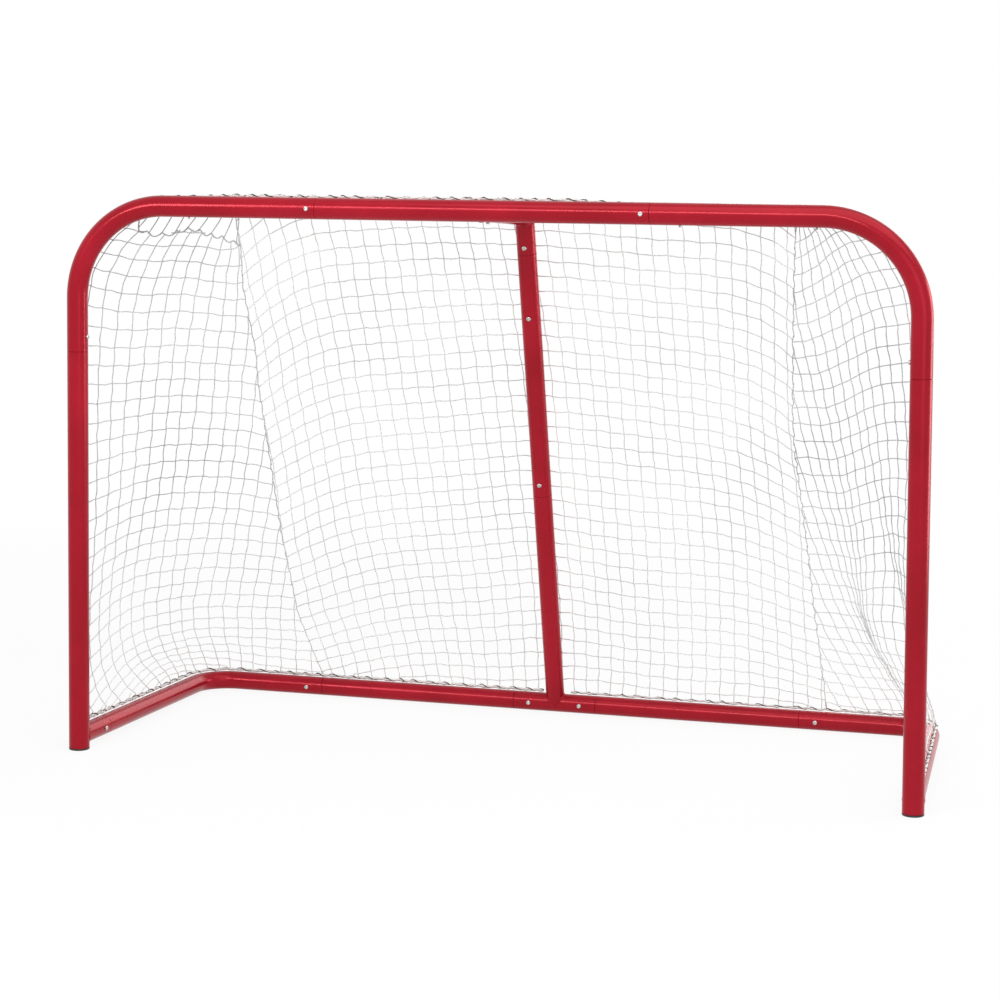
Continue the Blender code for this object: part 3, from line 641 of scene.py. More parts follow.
plug = {"rim": tubes["plugRim"], "depth": 0.016, "round": 0.0014, "slip": 0.0009, "sides": 48}
rim, depth, body = plug["rim"], plug["depth"], mouthRadius - goal["wall"] - plug["slip"]
edge = [(mouthRadius - plug["round"] * (1 - sin(x)), plug["round"] * (1 - cos(x))) for x in np.linspace(0, pi / 2, 6)]
profile = [(0, 0.0004), (0.012, 0.0004), (0.0125, 0)] + edge
profile += [(mouthRadius, rim - 0.0003), (mouthRadius - 0.0003, rim), (body, rim), (body, depth - 0.001),
            (body - 0.001, depth), (0, depth)]
for side, hand in hands:
    part = turnedPart(profile, plug["sides"])
    part["points"] = part["points"] + postLine(side)[0]
    addPiece("plug_" + hand, part, blackPlastic, [hand + "_foot_plug"])
print("bolts and plugs made")


# ---- the surfaces that the net hangs in
net = {
    "lacing": 0.012,  # diameter of the band that the wound cord fills
    # lift of the lacing along the crossbar, as (x, lift), from liftZ upwards and in full liftOver higher
    "topLift": ((-0.80, -0.66, -0.56, 0.20, 0.32), (-0.003, -0.001, 0.0029, 0.0029, -0.003)),
    "liftZ": 1.18,
    "liftOver": 0.08,
    "topAngle": radians(50),
    "baseAngle": radians(60),
    "startZ": 0.075,
    "startY": 0.06,
    "endX": 0.034,
    "topX": {-1: 0.557, 1: 0.670},
    "footX": {-1: 0.603, 1: 0.667},
    "bulge": 1.5,
    "lift": 0.0026,  # of the net over the brace
    "wrap": 0.010,  # half width of the strip that lies on the upright, and the same as u
    "wrapU": 0.0167,
    "edge": 0.0069,  # from the lacing's centre to the net
    "twine": 0.00115,  # radius
    "knot": 0.0022,
    "slack": 0.0011,
    "fine": 24,  # places on a twine between two knots
    "coarse": 8,  # how many of these go to one point
    # sideways wander of each seam, in mm, against its share of the way down
    "wander": {-1: ((0, .10, .17, .29, .36, .47, .68, .77, .86, .96, 1),
                    (-18, -22, -33, -31, -40, -44, -53, -50, -49, -24, -13)),
               1: ((0, .05, .14, .24, .39, .45, .68, .77, .86, .94, 1),
                   (-1, -5, -15, -24, -36, -36, -20, -16, -9, -3, -2))},
}
netFall = np.array((0, 0.9, -0.44))
topOut = mouthRadius + gap + net["lacing"] / 2  # from a tube's centre line to the lacing's
baseOut = baseRadius + gap + net["lacing"] / 2


def frontLacing(side, endX, steps):
    # centre of the lacing up the post and round onto the crossbar: P + spoke topOut, where the spoke turns
    # from straight back on the post to topAngle outward on the crossbar
    foot, corner = postLine(side)
    start = atHeight(foot, corner, net["startZ"])
    points = roundedPath([start, corner, topPoint(side * endX)], goal["mouthBend"], steps)
    turn = np.concatenate([[0], np.linspace(0, 1, steps + 1), [1]]) * net["topAngle"]
    outward = np.cross(yAxis, headingsOf(points)) * side
    spoke = yAxis * np.cos(turn)[:, None] + outward * np.sin(turn)[:, None]
    return points + spoke * topOut, spoke


def baseLacing(side, steps):
    # centre of the lacing along the base: P + (cos(baseAngle) outward + sin(baseAngle) z) baseOut
    points = roundedPath(baseCorners(side), goal["baseBend"], steps)
    outward = np.cross(headingsOf(points), zAxis) * side
    spoke = outward * cos(net["baseAngle"]) + zAxis * sin(net["baseAngle"])
    found = points + spoke * baseOut
    found[0] += unit(found[1] - found[0]) * net["startY"]
    found[-1, 0] = side * net["endX"]
    return found, spoke


def band(angle):
    # (0, cos angle, sin angle), from a tube towards its lacing
    return yAxis * cos(angle) + zAxis * sin(angle)


def creaseEnds(side):
    # ends of a seam: the lacing's centre above and below, and edge away from it
    top = topPoint(side * net["topX"][side]) + band(net["topAngle"]) * topOut
    foot = rearPoint(side * net["footX"][side]) + band(net["baseAngle"]) * baseOut
    return top + netFall * net["edge"], foot + zAxis * net["edge"]


def creaseAt(side, down):
    # mix(top, foot, down) + wander(down) x
    at, millimetres = net["wander"][side]
    return mix(*creaseEnds(side), down) + np.interp(down, at, millimetres)[:, None] / 1000 * xAxis


def sideSurface(side, rows=160, columns=48):
    # P(v, u) = front(v) (1 - u) + crease(v) u + bulge(u) (1 - v)^bulge; v runs up, u from post to seam
    v = np.linspace(0, 1, rows + 1)
    u = np.linspace(0, 1, columns + 1)
    path, _ = frontLacing(side, net["topX"][side], 48)
    held = alongPath(path, v)
    passed = lengthsOf(path) / lengthsOf(path)[-1]
    head = unit(columnsAt(v, passed, headingsOf(path)))
    crease = creaseAt(side, 1 - v)
    leaving = crease - held
    leaving = leaving - head * np.sum(head * leaving, axis=1, keepdims=True)
    front = held + unit(leaving) * net["edge"]
    floor = baseLacing(side, 24)[0] + zAxis * net["edge"]
    floor = floor[np.abs(floor[:, 0]) > abs(crease[0, 0])]
    plan = alongPath(np.vstack([front[:1], floor[1:], crease[:1]]), u)
    straight = mix(front[:, None], crease[:, None], u[None, :])
    bulge = plan - mix(front[0], crease[0], u)
    return straight + bulge[None] * ((1 - v) ** net["bulge"])[:, None, None], held


def ridgeLines(steps=24):
    # the net on the brace and on the upright: P + (0, -head.z, head.y) (baseRadius + lift)
    points = roundedPath(braceCorners(), goal["braceBend"], steps)
    head = headingsOf(points)
    line = points + np.stack([np.zeros(len(head)), -head[:, 2], head[:, 1]], axis=-1) * (baseRadius + net["lift"])
    top, foot = creaseEnds(1)
    first = line[0] + (line[1] - line[0]) * (top[1] - line[0][1]) / (line[1][1] - line[0][1])
    last = atHeight(line[-2], line[-1], foot[2])
    fold = 1 + steps // 2
    return np.vstack([first, line[1:fold + 1]]), np.vstack([line[fold:-1], last])


def backSurface(rows=120, columns=48):
    # P(v, u): left seam at u = -1, the upright at u = 0, right seam at u = 1; v runs down
    v = np.linspace(0, 1, rows + 1)
    u = np.linspace(-1, 1, 2 * columns + 1)
    middle = alongPath(ridgeLines()[1], v)
    wrap = net["wrap"] * xAxis
    keys = np.stack([creaseAt(-1, v), middle - wrap, middle, middle + wrap, creaseAt(1, v)], axis=1)
    at = np.array((-1, -net["wrapU"], 0, net["wrapU"], 1))
    k = np.clip(np.searchsorted(at, u, side="right") - 1, 0, 3)
    t = (u - at[k]) / (at[k + 1] - at[k])
    return keys[:, k] * (1 - t)[None, :, None] + keys[:, k + 1] * t[None, :, None]


def surfacePoint(surface, u, v, lowU):
    # place on a grid of points: mix(mix(P00, P10, s), mix(P01, P11, s), t); u runs lowU to 1, v 0 to 1
    rows, columns = surface.shape[:2]
    a = np.clip(v * (rows - 1), 0, rows - 1.0001)
    b = np.clip((u - lowU) / (1 - lowU) * (columns - 1), 0, columns - 1.0001)
    i, j = a.astype(int), b.astype(int)
    s, t = (a - i)[..., None], (b - j)[..., None]
    low = surface[i, j] * (1 - s) + surface[i + 1, j] * s
    high = surface[i, j + 1] * (1 - s) + surface[i + 1, j + 1] * s
    return low * (1 - t) + high * t


# ---- how the meshes hang: where knot (i, j) of each panel lies on its surface, as a table of
# spline control values in thousandths; "across" is u and "down" is v, a row for each step of i
hang = {
    "back": {
        "first": (-16, -10), "step": (4, 5), "columns": (-16, 34), "rows": (-9, 33), "low": -1,
        "across": (
            "-1608 -1559 -1514 -1479 -1462 -1472 -1507 -1562 -1624 -1682 -1733 -1778 -1821",
            "-1433 -1389 -1345 -1307 -1287 -1289 -1315 -1363 -1412 -1454 -1492 -1526 -1559",
            "-1254 -1216 -1174 -1135 -1120 -1113 -1127 -1164 -1191 -1222 -1249 -1275 -1300",
            "-1066 -1033 -996 -970 -969 -950 -962 -953 -942 -981 -1004 -1025 -1048",
            "-868 -839 -815 -777 -763 -743 -739 -713 -707 -738 -755 -779 -806",
            "-663 -627 -592 -558 -554 -527 -515 -497 -476 -492 -515 -546 -576",
            "-449 -415 -380 -354 -331 -314 -304 -286 -283 -305 -308 -330 -359",
            "-222 -202 -179 -140 -118 -97 -88 -64 -61 -78 -106 -131 -156",
            "16 31 53 74 107 120 119 127 127 107 81 60 41",
            "264 278 299 325 335 341 335 326 315 288 266 251 236",
            "511 528 537 547 560 566 563 548 528 491 465 449 433",
            "741 767 784 784 791 790 784 766 730 716 684 657 633",
            "947 967 983 987 982 990 967 957 946 935 901 869 839",
            "1130 1132 1128 1130 1155 1209 1214 1170 1132 1124 1105 1079 1050",
            "1295 1294 1296 1311 1347 1390 1403 1379 1346 1326 1307 1285 1261",
            "1453 1459 1473 1500 1535 1567 1584 1581 1562 1536 1512 1491 1471",
        ), "down": (
            "43 198 346 484 611 731 848 966 1086 1201 1311 1417 1520",
            "-63 103 263 407 534 658 791 922 1048 1169 1284 1398 1513",
            "-163 5 177 326 455 584 739 881 1008 1133 1254 1380 1508",
            "-245 -91 72 223 378 532 689 843 965 1088 1224 1365 1508",
            "-300 -153 -3 156 315 472 630 788 933 1049 1202 1357 1510",
            "-329 -171 -7 146 304 457 615 764 908 1035 1197 1356 1513",
            "-338 -177 -18 132 293 450 604 758 907 1053 1205 1358 1515",
            "-334 -174 -16 132 275 436 583 732 882 1050 1203 1359 1519",
            "-323 -166 -14 132 279 434 592 743 894 1024 1189 1357 1521",
            "-311 -156 -6 142 288 437 602 756 905 1032 1196 1358 1516",
            "-298 -147 5 150 295 450 595 758 901 1054 1210 1355 1502",
            "-280 -138 3 156 310 455 607 759 902 1037 1194 1338 1479",
            "-254 -109 38 191 345 509 653 795 942 1031 1170 1310 1447",
            "-217 -55 112 283 456 607 695 817 966 1058 1166 1285 1408",
            "-170 11 192 369 534 667 766 870 981 1077 1169 1266 1366",
            "-118 80 272 449 602 728 834 924 1008 1091 1171 1248 1324",
        )},
    "left": {
        "first": (-10, -10), "step": (3, 4), "columns": (-10, 20), "rows": (-10, 34), "low": 0,
        "across": (
            "-348 -446 -538 -614 -668 -693 -679 -626 -540 -437 -322 -193 -47 110 272",
            "-198 -250 -315 -393 -456 -480 -466 -427 -368 -288 -185 -60 78 221 364",
            "-54 -59 -87 -175 -248 -259 -242 -221 -205 -147 -47 78 206 330 452",
            "91 110 126 44 -22 -10 -5 -12 -59 -19 102 226 334 433 528",
            "267 253 271 349 291 224 206 171 121 127 257 373 455 524 590",
            "507 466 434 556 598 526 492 419 335 325 428 508 559 599 637",
            "815 820 851 880 799 775 727 699 632 606 657 646 646 659 674",
            "1184 1205 1228 1194 1044 963 883 814 767 735 747 738 722 713 708",
            "1581 1560 1519 1427 1287 1175 1082 1002 924 876 835 806 788 765 740",
            "1973 1887 1784 1656 1511 1365 1229 1120 1053 1016 981 912 862 816 770",
            "2344 2199 2048 1888 1723 1557 1402 1274 1184 1131 1093 1018 941 870 801",
            "2695 2504 2313 2123 1936 1755 1588 1446 1336 1254 1184 1103 1014 924 835",
            "3034 2806 2581 2362 2153 1958 1780 1624 1491 1379 1278 1179 1078 975 871",
            "3368 3106 2849 2603 2373 2162 1972 1801 1646 1504 1375 1255 1139 1024 908",
        ), "down": (
            "889 815 734 643 538 420 296 174 62 -37 -121 -191 -246 -292 -334",
            "938 854 771 680 570 444 315 189 75 -21 -99 -160 -210 -255 -299",
            "994 894 802 717 596 465 335 209 91 -6 -73 -126 -173 -220 -268",
            "1060 942 829 735 602 484 357 239 119 13 -41 -87 -135 -189 -247",
            "1136 1010 885 755 628 510 390 274 170 62 8 -41 -101 -169 -240",
            "1214 1084 954 807 683 550 429 302 187 84 43 -6 -85 -167 -248",
            "1290 1150 1002 843 709 577 443 311 182 79 24 -29 -102 -185 -270",
            "1356 1208 1060 913 751 607 464 324 191 77 22 -60 -139 -221 -305",
            "1413 1257 1100 937 763 601 461 329 201 91 12 -93 -181 -266 -351",
            "1461 1295 1127 955 781 613 462 323 202 91 7 -115 -216 -310 -404",
            "1500 1326 1151 975 801 634 478 338 215 104 2 -123 -241 -352 -460",
            "1531 1352 1174 998 825 659 504 361 231 110 -11 -137 -266 -391 -515",
            "1557 1377 1199 1023 852 688 532 385 246 112 -22 -156 -293 -431 -568",
            "1582 1402 1223 1048 879 717 560 409 261 114 -31 -176 -322 -470 -619",
        )},
    "right": {
        "first": (-20, -12), "step": (3, 4), "columns": (-20, 10), "rows": (-12, 33), "low": 0,
        "across": (
            "2868 2661 2460 2271 2099 1945 1807 1682 1566 1453 1337 1213 1082 946 809",
            "2549 2373 2199 2034 1879 1737 1610 1499 1404 1315 1220 1114 1003 892 780",
            "2224 2084 1941 1799 1661 1531 1415 1318 1241 1174 1100 1012 924 838 754",
            "1884 1792 1690 1572 1447 1328 1227 1146 1082 1023 960 905 848 789 729",
            "1522 1493 1445 1357 1239 1130 1057 1000 947 893 846 815 783 747 708",
            "1141 1172 1196 1158 1032 950 924 890 853 800 758 748 734 714 692",
            "766 820 896 956 857 816 814 827 860 818 750 718 704 693 682",
            "424 474 532 671 712 684 757 780 849 796 742 707 692 687 686",
            "123 201 294 445 442 362 385 549 770 741 707 690 688 696 708",
            "-138 -26 98 194 116 43 14 194 470 589 628 652 680 714 751",
            "-376 -275 -189 -164 -216 -247 -216 -61 164 355 485 577 657 734 813",
            "-618 -558 -518 -511 -519 -503 -429 -288 -95 115 306 469 614 752 888",
            "-877 -860 -847 -836 -810 -752 -653 -509 -325 -110 118 341 556 765 971",
            "-1147 -1165 -1172 -1152 -1096 -1005 -882 -731 -548 -326 -70 207 491 774 1055",
        ), "down": (
            "1279 1145 1011 878 749 625 507 394 284 175 65 -44 -153 -260 -367",
            "1265 1136 1007 877 748 618 493 373 262 155 47 -62 -169 -272 -374",
            "1251 1127 1003 876 747 614 480 351 238 137 27 -82 -183 -283 -383",
            "1236 1117 996 874 747 613 473 332 212 113 1 -97 -193 -293 -395",
            "1222 1105 987 868 743 612 472 335 211 93 0 -96 -199 -305 -412",
            "1209 1091 975 859 732 600 462 336 203 87 14 -93 -208 -321 -433",
            "1198 1080 961 842 714 581 452 322 194 87 -8 -115 -229 -344 -459",
            "1189 1074 961 849 728 598 474 334 194 68 -43 -150 -260 -373 -487",
            "1183 1072 963 853 727 600 478 349 195 46 -73 -184 -294 -407 -520",
            "1180 1066 950 830 706 580 459 337 193 44 -89 -210 -326 -441 -557",
            "1177 1057 935 811 687 562 440 314 179 38 -100 -230 -354 -475 -596",
            "1172 1047 921 795 670 545 420 292 161 25 -112 -247 -379 -508 -636",
            "1166 1037 909 781 654 527 400 272 142 8 -128 -265 -402 -539 -675",
            "1159 1027 897 767 638 510 381 252 123 -9 -144 -283 -425 -569 -713",
        )},
}
for panel in hang.values():
    tables = [[[int(x) / 1000 for x in row.split()] for row in panel[way]] for way in ("across", "down")]
    panel["table"] = np.stack(tables, axis=-1)


def splineWeights(x, count):
    # uniform cubic B-spline: (1-t)^3, 3t^3-6t^2+4, -3t^3+3t^2+3t+1, t^3, all over 6
    k = np.clip(np.floor(x).astype(int), 0, count - 4)
    t = x - k
    w = np.stack([(1 - t) ** 3, 3 * t ** 3 - 6 * t ** 2 + 4, -3 * t ** 3 + 3 * t ** 2 + 3 * t + 1, t ** 3], -1) / 6
    full = np.zeros(x.shape + (count,))
    for q in range(4):
        np.put_along_axis(full, (k + q)[..., None], w[..., q:q + 1], -1)
    return full


def meshPlace(panel, i, j):
    # (u, v) of knot (i, j), also between knots: the sum over a, b of weight(i, a) weight(j, b) table(a, b)
    table = panel["table"]
    wi = splineWeights((i - panel["first"][0]) / panel["step"][0], table.shape[0])
    wj = splineWeights((j - panel["first"][1]) / panel["step"][1], table.shape[1])
    return np.einsum("...a,abk,...b->...k", wi, table, wj)


def flutter(points):
    # slack of the twine: slack (sin + 0.6 sin) of z and of s = x + 0.7 y, the same for both ways, which still cross
    x, y, z = points[..., 0], points[..., 1], points[..., 2]
    s = x + 0.7 * y
    return net["slack"] * np.stack([np.sin(83 * z + 19 * s) + 0.6 * np.sin(171 * z - 37 * s),
                                    0.8 * np.sin(61 * s + 47 * z),
                                    np.sin(89 * s - 23 * z) + 0.6 * np.sin(187 * s + 31 * z)], axis=-1)


def strandRuns(inside):
    # first and last index of each stretch of True: from a step up to just before the next step down
    edges = np.flatnonzero(np.diff(np.concatenate([[0], inside.astype(int), [0]])))
    return zip(edges[::2], edges[1::2] - 1)


def within(panel, uv, limit):
    # True where low <= u <= 1, 0 <= v <= 1 and the limit agrees
    inside = (uv[:, 0] >= panel["low"]) & (uv[:, 0] <= 1) & (uv[:, 1] >= 0) & (uv[:, 1] <= 1)
    return inside if limit is None else inside & limit(uv)


def netStrands(panel, surface, limit=None):
    # every twine of a panel: P(surface, meshPlace(k, t)) + flutter, clipped to it, with the (u, v) of its two ends
    found = []
    coarse = net["coarse"]
    for way in (0, 1):
        here, there = (panel["columns"], panel["rows"]) if way == 0 else (panel["rows"], panel["columns"])
        t = np.arange(there[0], there[1], 1 / net["fine"])
        for k in range(here[0], here[1] + 1):
            fixed = np.full_like(t, k)
            uv = meshPlace(panel, fixed, t) if way == 0 else meshPlace(panel, t, fixed)
            for a, b in strandRuns(within(panel, uv, limit)):
                if b - a < coarse:
                    continue
                count = max(2, int(round((b - a) / coarse)) + 1)
                uvs = columnsAt(np.linspace(a, b, count), np.arange(len(t)), uv)
                points = surfacePoint(surface, uvs[:, 0], uvs[:, 1], panel["low"])
                found.append({"points": points + flutter(points), "ends": uvs[[0, -1]]})
    return found


def knotParts(panel, surface, limit, top):
    # a small knot at P(surface, meshPlace(i, j)) + flutter, wherever two twines cross inside the panel under v = top
    i, j = (np.arange(low, high + 1) for low, high in (panel["columns"], panel["rows"]))
    i, j = np.meshgrid(i.astype(float), j.astype(float), indexing="ij")
    uv = meshPlace(panel, i.ravel(), j.ravel())
    uv = uv[within(panel, uv, limit) & (uv[:, 1] < top)]
    centre = surfacePoint(surface, uv[:, 0], uv[:, 1], panel["low"])
    return knotCloud(centre + flutter(centre), net["knot"])


def knotCloud(centre, radius):
    # squashed balls of 30 faces: point(n, k) = centre(n) + radius grow(n) turned(shape(k)), copied as one array
    a = np.arange(5) * 2 * pi / 5
    belts = ((0.72, -0.7), (1.0, 0.0), (0.72, 0.7))
    ball = [np.stack([np.cos(a) * r, np.sin(a) * r, np.full(5, z)], -1) for r, z in belts]
    template = gridPart(np.stack(ball), closedRows=False, caps=True)
    shape = template["points"] * (1.0, 0.8, 1.15)
    shape[-2:, 2] *= 1.25
    turn = 1.7 * np.sin(91 * centre[:, 0] + 57 * centre[:, 2])
    grow = radius * (1 + 0.22 * np.sin(137 * centre[:, 0] + 211 * centre[:, 2]))
    c, s = np.cos(turn)[:, None], np.sin(turn)[:, None]
    local = np.stack([shape[:, 0] * c - shape[:, 2] * s, np.repeat(shape[None, :, 1], len(centre), 0),
                      shape[:, 0] * s + shape[:, 2] * c], -1)
    points = centre[:, None] + local * grow[:, None, None]
    offset = (np.arange(len(centre)) * len(shape))[:, None, None]
    quads = (template["quads"][None] + offset).reshape(-1, 4)
    tris = (template["tris"][None] + offset).reshape(-1, 3)
    uvs = np.zeros((len(quads) * 4 + len(tris) * 3, 2))
    return {"points": points.reshape(-1, 3), "quads": quads, "tris": tris, "uv": uvs}


def strandPart(strand, normal):
    # a twine of five sides and radius twine (1 + 0.12 sin(2.4 k + 50 x))
    points = strand["points"]
    wave = np.sin(np.arange(len(points)) * 2.4 + points[0, 0] * 50)
    return cordPart(points, np.full(len(points), net["twine"]) * (1 + 0.12 * wave), 5, normal)


# free top edge of the left panel, as (u, v) on its surface: the meshes end there
selvage = {"u": (0, .070, .151, .239, .301, .350, .378, .450, .549, .698, .865, 1),
           "v": (.838, .822, .798, .806, .821, .837, .857, .874, .882, .899, .908, .916),
           "radius": 0.0016, "lean": 0.070, "pitch": 0.030, "sag": 0.0085, "aboveZ": 1.2, "slack": 0.004}
# where twines are tied, as limits of u and v; no knots over gathered; how far an end reaches for the lacing
catch = {"floor": 0.02, "foot": 0.012, "front": 0.04, "end": 0.985, "gathered": 0.965, "reach": 0.10, "share": 0.25}
surfaces = {"back": backSurface()}
holds, floors = {}, {}
for side, hand in hands:
    surfaces[hand], holds[hand] = sideSurface(side)
    floors[hand] = alongPath(baseLacing(side, 24)[0], np.linspace(0, 1, 1200))  # points about 1.2 mm apart
rearBand = rearPoint(0) + band(net["baseAngle"]) * baseOut


def lacingUnder(points, end, path):
    # the point of the lacing that the twine meets when it runs on: the least miss + share reach along its heading
    back = min(4, len(points) - 1)
    tip, before = (points[0], points[back]) if end == 0 else (points[-1], points[-1 - back])
    ahead = unit(tip - before)
    reach = np.clip((path - tip) @ ahead, 0, catch["reach"])[:, None]
    miss = np.linalg.norm(path - tip - reach * ahead, axis=1)
    return path[np.argmin(miss + catch["share"] * reach[:, 0])]


def tieTo(strand, hand):
    # carries each end on to its lacing: in the back straight to it, low on a side to the base's, beside a post to
    # the front one at share v of its length, and at the top to its last point
    points = strand["points"]
    for end in (0, -1):
        u, v = strand["ends"][end]
        tip = None
        if hand == "back":
            if v > catch["end"] and abs(points[end, 0]) > net["endX"]:
                tip = rearBand + points[end, 0] * xAxis
        elif v < catch["floor"] and u > catch["foot"]:
            tip = lacingUnder(points, end, floors[hand])
        elif u < catch["front"]:
            tip = columnsAt(v, np.linspace(0, 1, len(holds[hand])), holds[hand])
        elif v > catch["end"]:
            tip = holds[hand][-1]
        if tip is not None:
            points = np.vstack([tip, points]) if end == 0 else np.vstack([points, tip])
    strand["points"] = points


def addNet(hand, material, replaced, normal, limit=None, top=2.0):
    # one panel = its twines, tied at their ends, + its knots under v = top
    strands = netStrands(hang[hand], surfaces[hand], limit)
    for strand in strands:
        tieTo(strand, hand)
    parts = [strandPart(strand, normal) for strand in strands]
    parts.append(knotParts(hang[hand], surfaces[hand], limit, top))
    addPiece("netting_" + hand, joined(parts), material, replaced, sharp=0)


def belowSelvage(uv):
    # v under the free edge's v at u
    return uv[..., 1] < np.interp(uv[..., 0], selvage["u"], selvage["v"])


addNet("back", backTwine, ["net_back"], unit(np.array((0, 0.87, 0.5))))
for side, hand in hands:
    levels = ["net_" + hand + "_" + level for level in ("low", "middle", "high")]
    limit = belowSelvage if side < 0 else None
    addNet(hand, shadedSideTwine, levels, unit(np.array((side * 0.8, 0.6, 0.05))), limit, catch["gathered"])

# the cord on that edge sags between its catches by sag (|sin(pi run + wobble)| - 0.3); from each, a slack thread
# leans back up to the crossbar's lacing
u = np.linspace(0, 1, 240)
edge = surfacePoint(surfaces["left"], u, np.interp(u, selvage["u"], selvage["v"]), 0)
run = lengthsOf(edge) / selvage["pitch"]
edge = edge - (selvage["sag"] * (np.abs(np.sin(pi * (run + 0.2 * np.sin(0.8 * run)))) - 0.3))[:, None] * zAxis
held = holds["left"]
edge[0] = held[int(selvage["v"][0] * len(held))]
catches = np.flatnonzero(np.diff(np.floor(run)))
parts = [cordPart(edge, selvage["radius"], 6, yAxis), knotCloud(edge[catches], net["knot"])]
for k in catches:
    x = min(edge[k, 0] + selvage["lean"], -net["topX"][-1])
    tip = held[np.argmin(np.abs(held[:, 0] - x) + 9 * (held[:, 2] < selvage["aboveZ"]))]
    s = np.linspace(0, 1, 7)
    points = mix(edge[k], tip, s) + (selvage["slack"] * np.sin(pi * s))[:, None] * np.array((0.5, 0.5, -0.6))
    parts.append(cordPart(points, net["twine"], 5, unit(np.array((-0.8, 0.6, 0.05)))))
addPiece("netting_selvage", joined(parts), shadedSeamTwine, sharp=0)
print("side and back netting made")


# ---- roof of the net: the back's columns carried forward over the fold to the crossbar
roof = {"rows": 0.0375, "frontY": 0.0191, "frontZ": topZ + 0.0228, "lean": 0.02, "seamU": 0.985, "search": (-9, 12),
        "column": 14, "step": 0.013, "overBrace": 0.02, "still": 0.03, "margin": 0.01}


def roofStrands():
    # a column runs straight from its place on the fold to the crossbar; a row runs from fold to fold
    fold = surfaces["back"][0]
    half = len(fold) // 2
    left, right = fold[:half + 1], fold[half:]
    ridge = ridgeLines()[0]
    found = []

    def heightAt(x, y):
        # ridge height (1 - t) + fold height t, with t = |x| / the roof's half width at y
        reach, edgeZ = (np.interp(y, left[:, 1], values) for values in (np.abs(left[:, 0]), left[:, 2]))
        t = np.clip(np.abs(x) / np.maximum(reach, 1e-4), 0, 1)
        return np.interp(y, ridge[:, 1], ridge[:, 2]) * (1 - t) + edgeZ * t

    for k in range(hang["back"]["columns"][0], hang["back"]["columns"][1] + 1):
        t = np.arange(*roof["search"], 1 / net["fine"])
        uv = meshPlace(hang["back"], np.full_like(t, k), t)
        if uv[:, 1].min() > 0:
            continue
        u = uv[np.flatnonzero(uv[:, 1] >= 0)[0], 0]
        if abs(u) >= roof["seamU"]:
            continue
        start = surfacePoint(surfaces["back"], np.array(u), np.array(0.0), -1)
        y = np.linspace(start[1], roof["frontY"], roof["column"])
        onBrace = np.maximum(y, ridge[0, 1])
        x = start[0] + roof["lean"] * (start[1] - y)
        z = heightAt(x, onBrace)
        z[-1] = roof["frontZ"]
        points = np.stack([x, y, z], -1)
        points[1:-1] += flutter(points[1:-1])
        over = np.abs(points[:, 0]) < roof["overBrace"]
        points[:, 2] = np.maximum(points[:, 2], np.where(over, heightAt(x * 0, onBrace), 0))
        found.append({"points": points})
    y = roof["frontY"] + roof["rows"]
    while y < fold[:, 1].max() - roof["margin"]:
        ends = [np.interp(y, left[:, 1], left[:, 0]), np.interp(-y, -right[:, 1], right[:, 0])]
        count = max(3, int((ends[1] - ends[0]) / roof["step"]))
        x = np.linspace(ends[0], ends[1], count)
        points = np.stack([x, np.full(count, y), heightAt(x, np.full(count, y))], -1)
        points[1:-1] += flutter(points[1:-1]) * (np.abs(points[1:-1, :1]) > roof["still"])
        found.append({"points": points})
        y += roof["rows"]
    found.append({"points": fold[::2]})
    return found


parts = [strandPart(strand, zAxis + 0.01 * xAxis) for strand in roofStrands()]
addPiece("netting_roof", joined(parts), backTwine, ["net_top"], sharp=0)
print("roof netting made")


# ---- seam cords: one thin cord down each seam, moved by sway (|sin(pi run + wobble)| - 0.5) loose(s)
seam = {"radius": 0.00115, "pitch": 0.041, "sway": {-1: 0.0026, 1: 0.0036}}
for side, hand in hands:
    s = np.linspace(0, 1, 460)
    line = creaseAt(side, s)
    run = lengthsOf(line) / seam["pitch"]
    scallop = np.abs(np.sin(pi * run + 0.9 * np.sin(0.31 * run))) - 0.5
    loose = (0.6 + 0.6 * np.sin(0.83 * run + side) ** 2) * np.sin(pi * s) ** 0.25
    line = line - side * (seam["sway"][side] * scallop * loose)[:, None] * xAxis
    reference = unit(np.array((side * 0.7, 0.7, 0.0)))
    caught = line[np.flatnonzero(np.diff(np.floor(run)))]
    parts = [cordPart(line, seam["radius"], 6, reference), knotCloud(caught, net["knot"] * 0.9)]
    addPiece("seam_" + hand, joined(parts), shadedSeamTwine, sharp=0)
print("seam cords made")


# ---- lacing: a thick ragged hem rope on each tube, and a dark flecked cord wound round it
lace = {"step": 0.003,
        "front": {"hem": 0.0019, "cord": 0.0015, "coil": 0.0016, "lay": 0.035, "stray": 0.12, "flat": 2.8},
        "left_base": {"hem": 0.0031, "cord": 0.0013, "coil": 0.0037, "lay": 0.042, "stray": 0.30, "flat": 0.6},
        "right_base": {"hem": 0.0025, "cord": 0.0011, "coil": 0.0030, "lay": 0.042, "stray": 0.30, "flat": 0.6}}


def windCord(path, reference, sizes):
    # helix(s) = path(s) + coil (1 + stray wave(s)) (lift over + sin(turn) across), turn = 2 pi s / lay + a slow
    # wobble, lift = tanh(flat (cos(turn) + 0.3)) / tanh(1.3 flat), so that the cord lies outside for most of a turn
    head = headingsOf(path)
    over = unit(reference - head * np.sum(head * reference, axis=-1, keepdims=True))
    across = np.cross(head, over)
    run = lengthsOf(path) / sizes["lay"]
    turn = (2 * pi * run + 0.9 * np.sin(0.9 * run) + 0.5 * np.sin(2.3 * run))[:, None]
    reach = sizes["coil"] * (1 + sizes["stray"] * np.sin(1.9 * run) * np.sin(0.7 * run + 1))[:, None]
    lift = np.tanh(sizes["flat"] * (np.cos(turn) + 0.3)) / np.tanh(1.3 * sizes["flat"])
    return path + reach * (lift * over + np.sin(turn) * across)


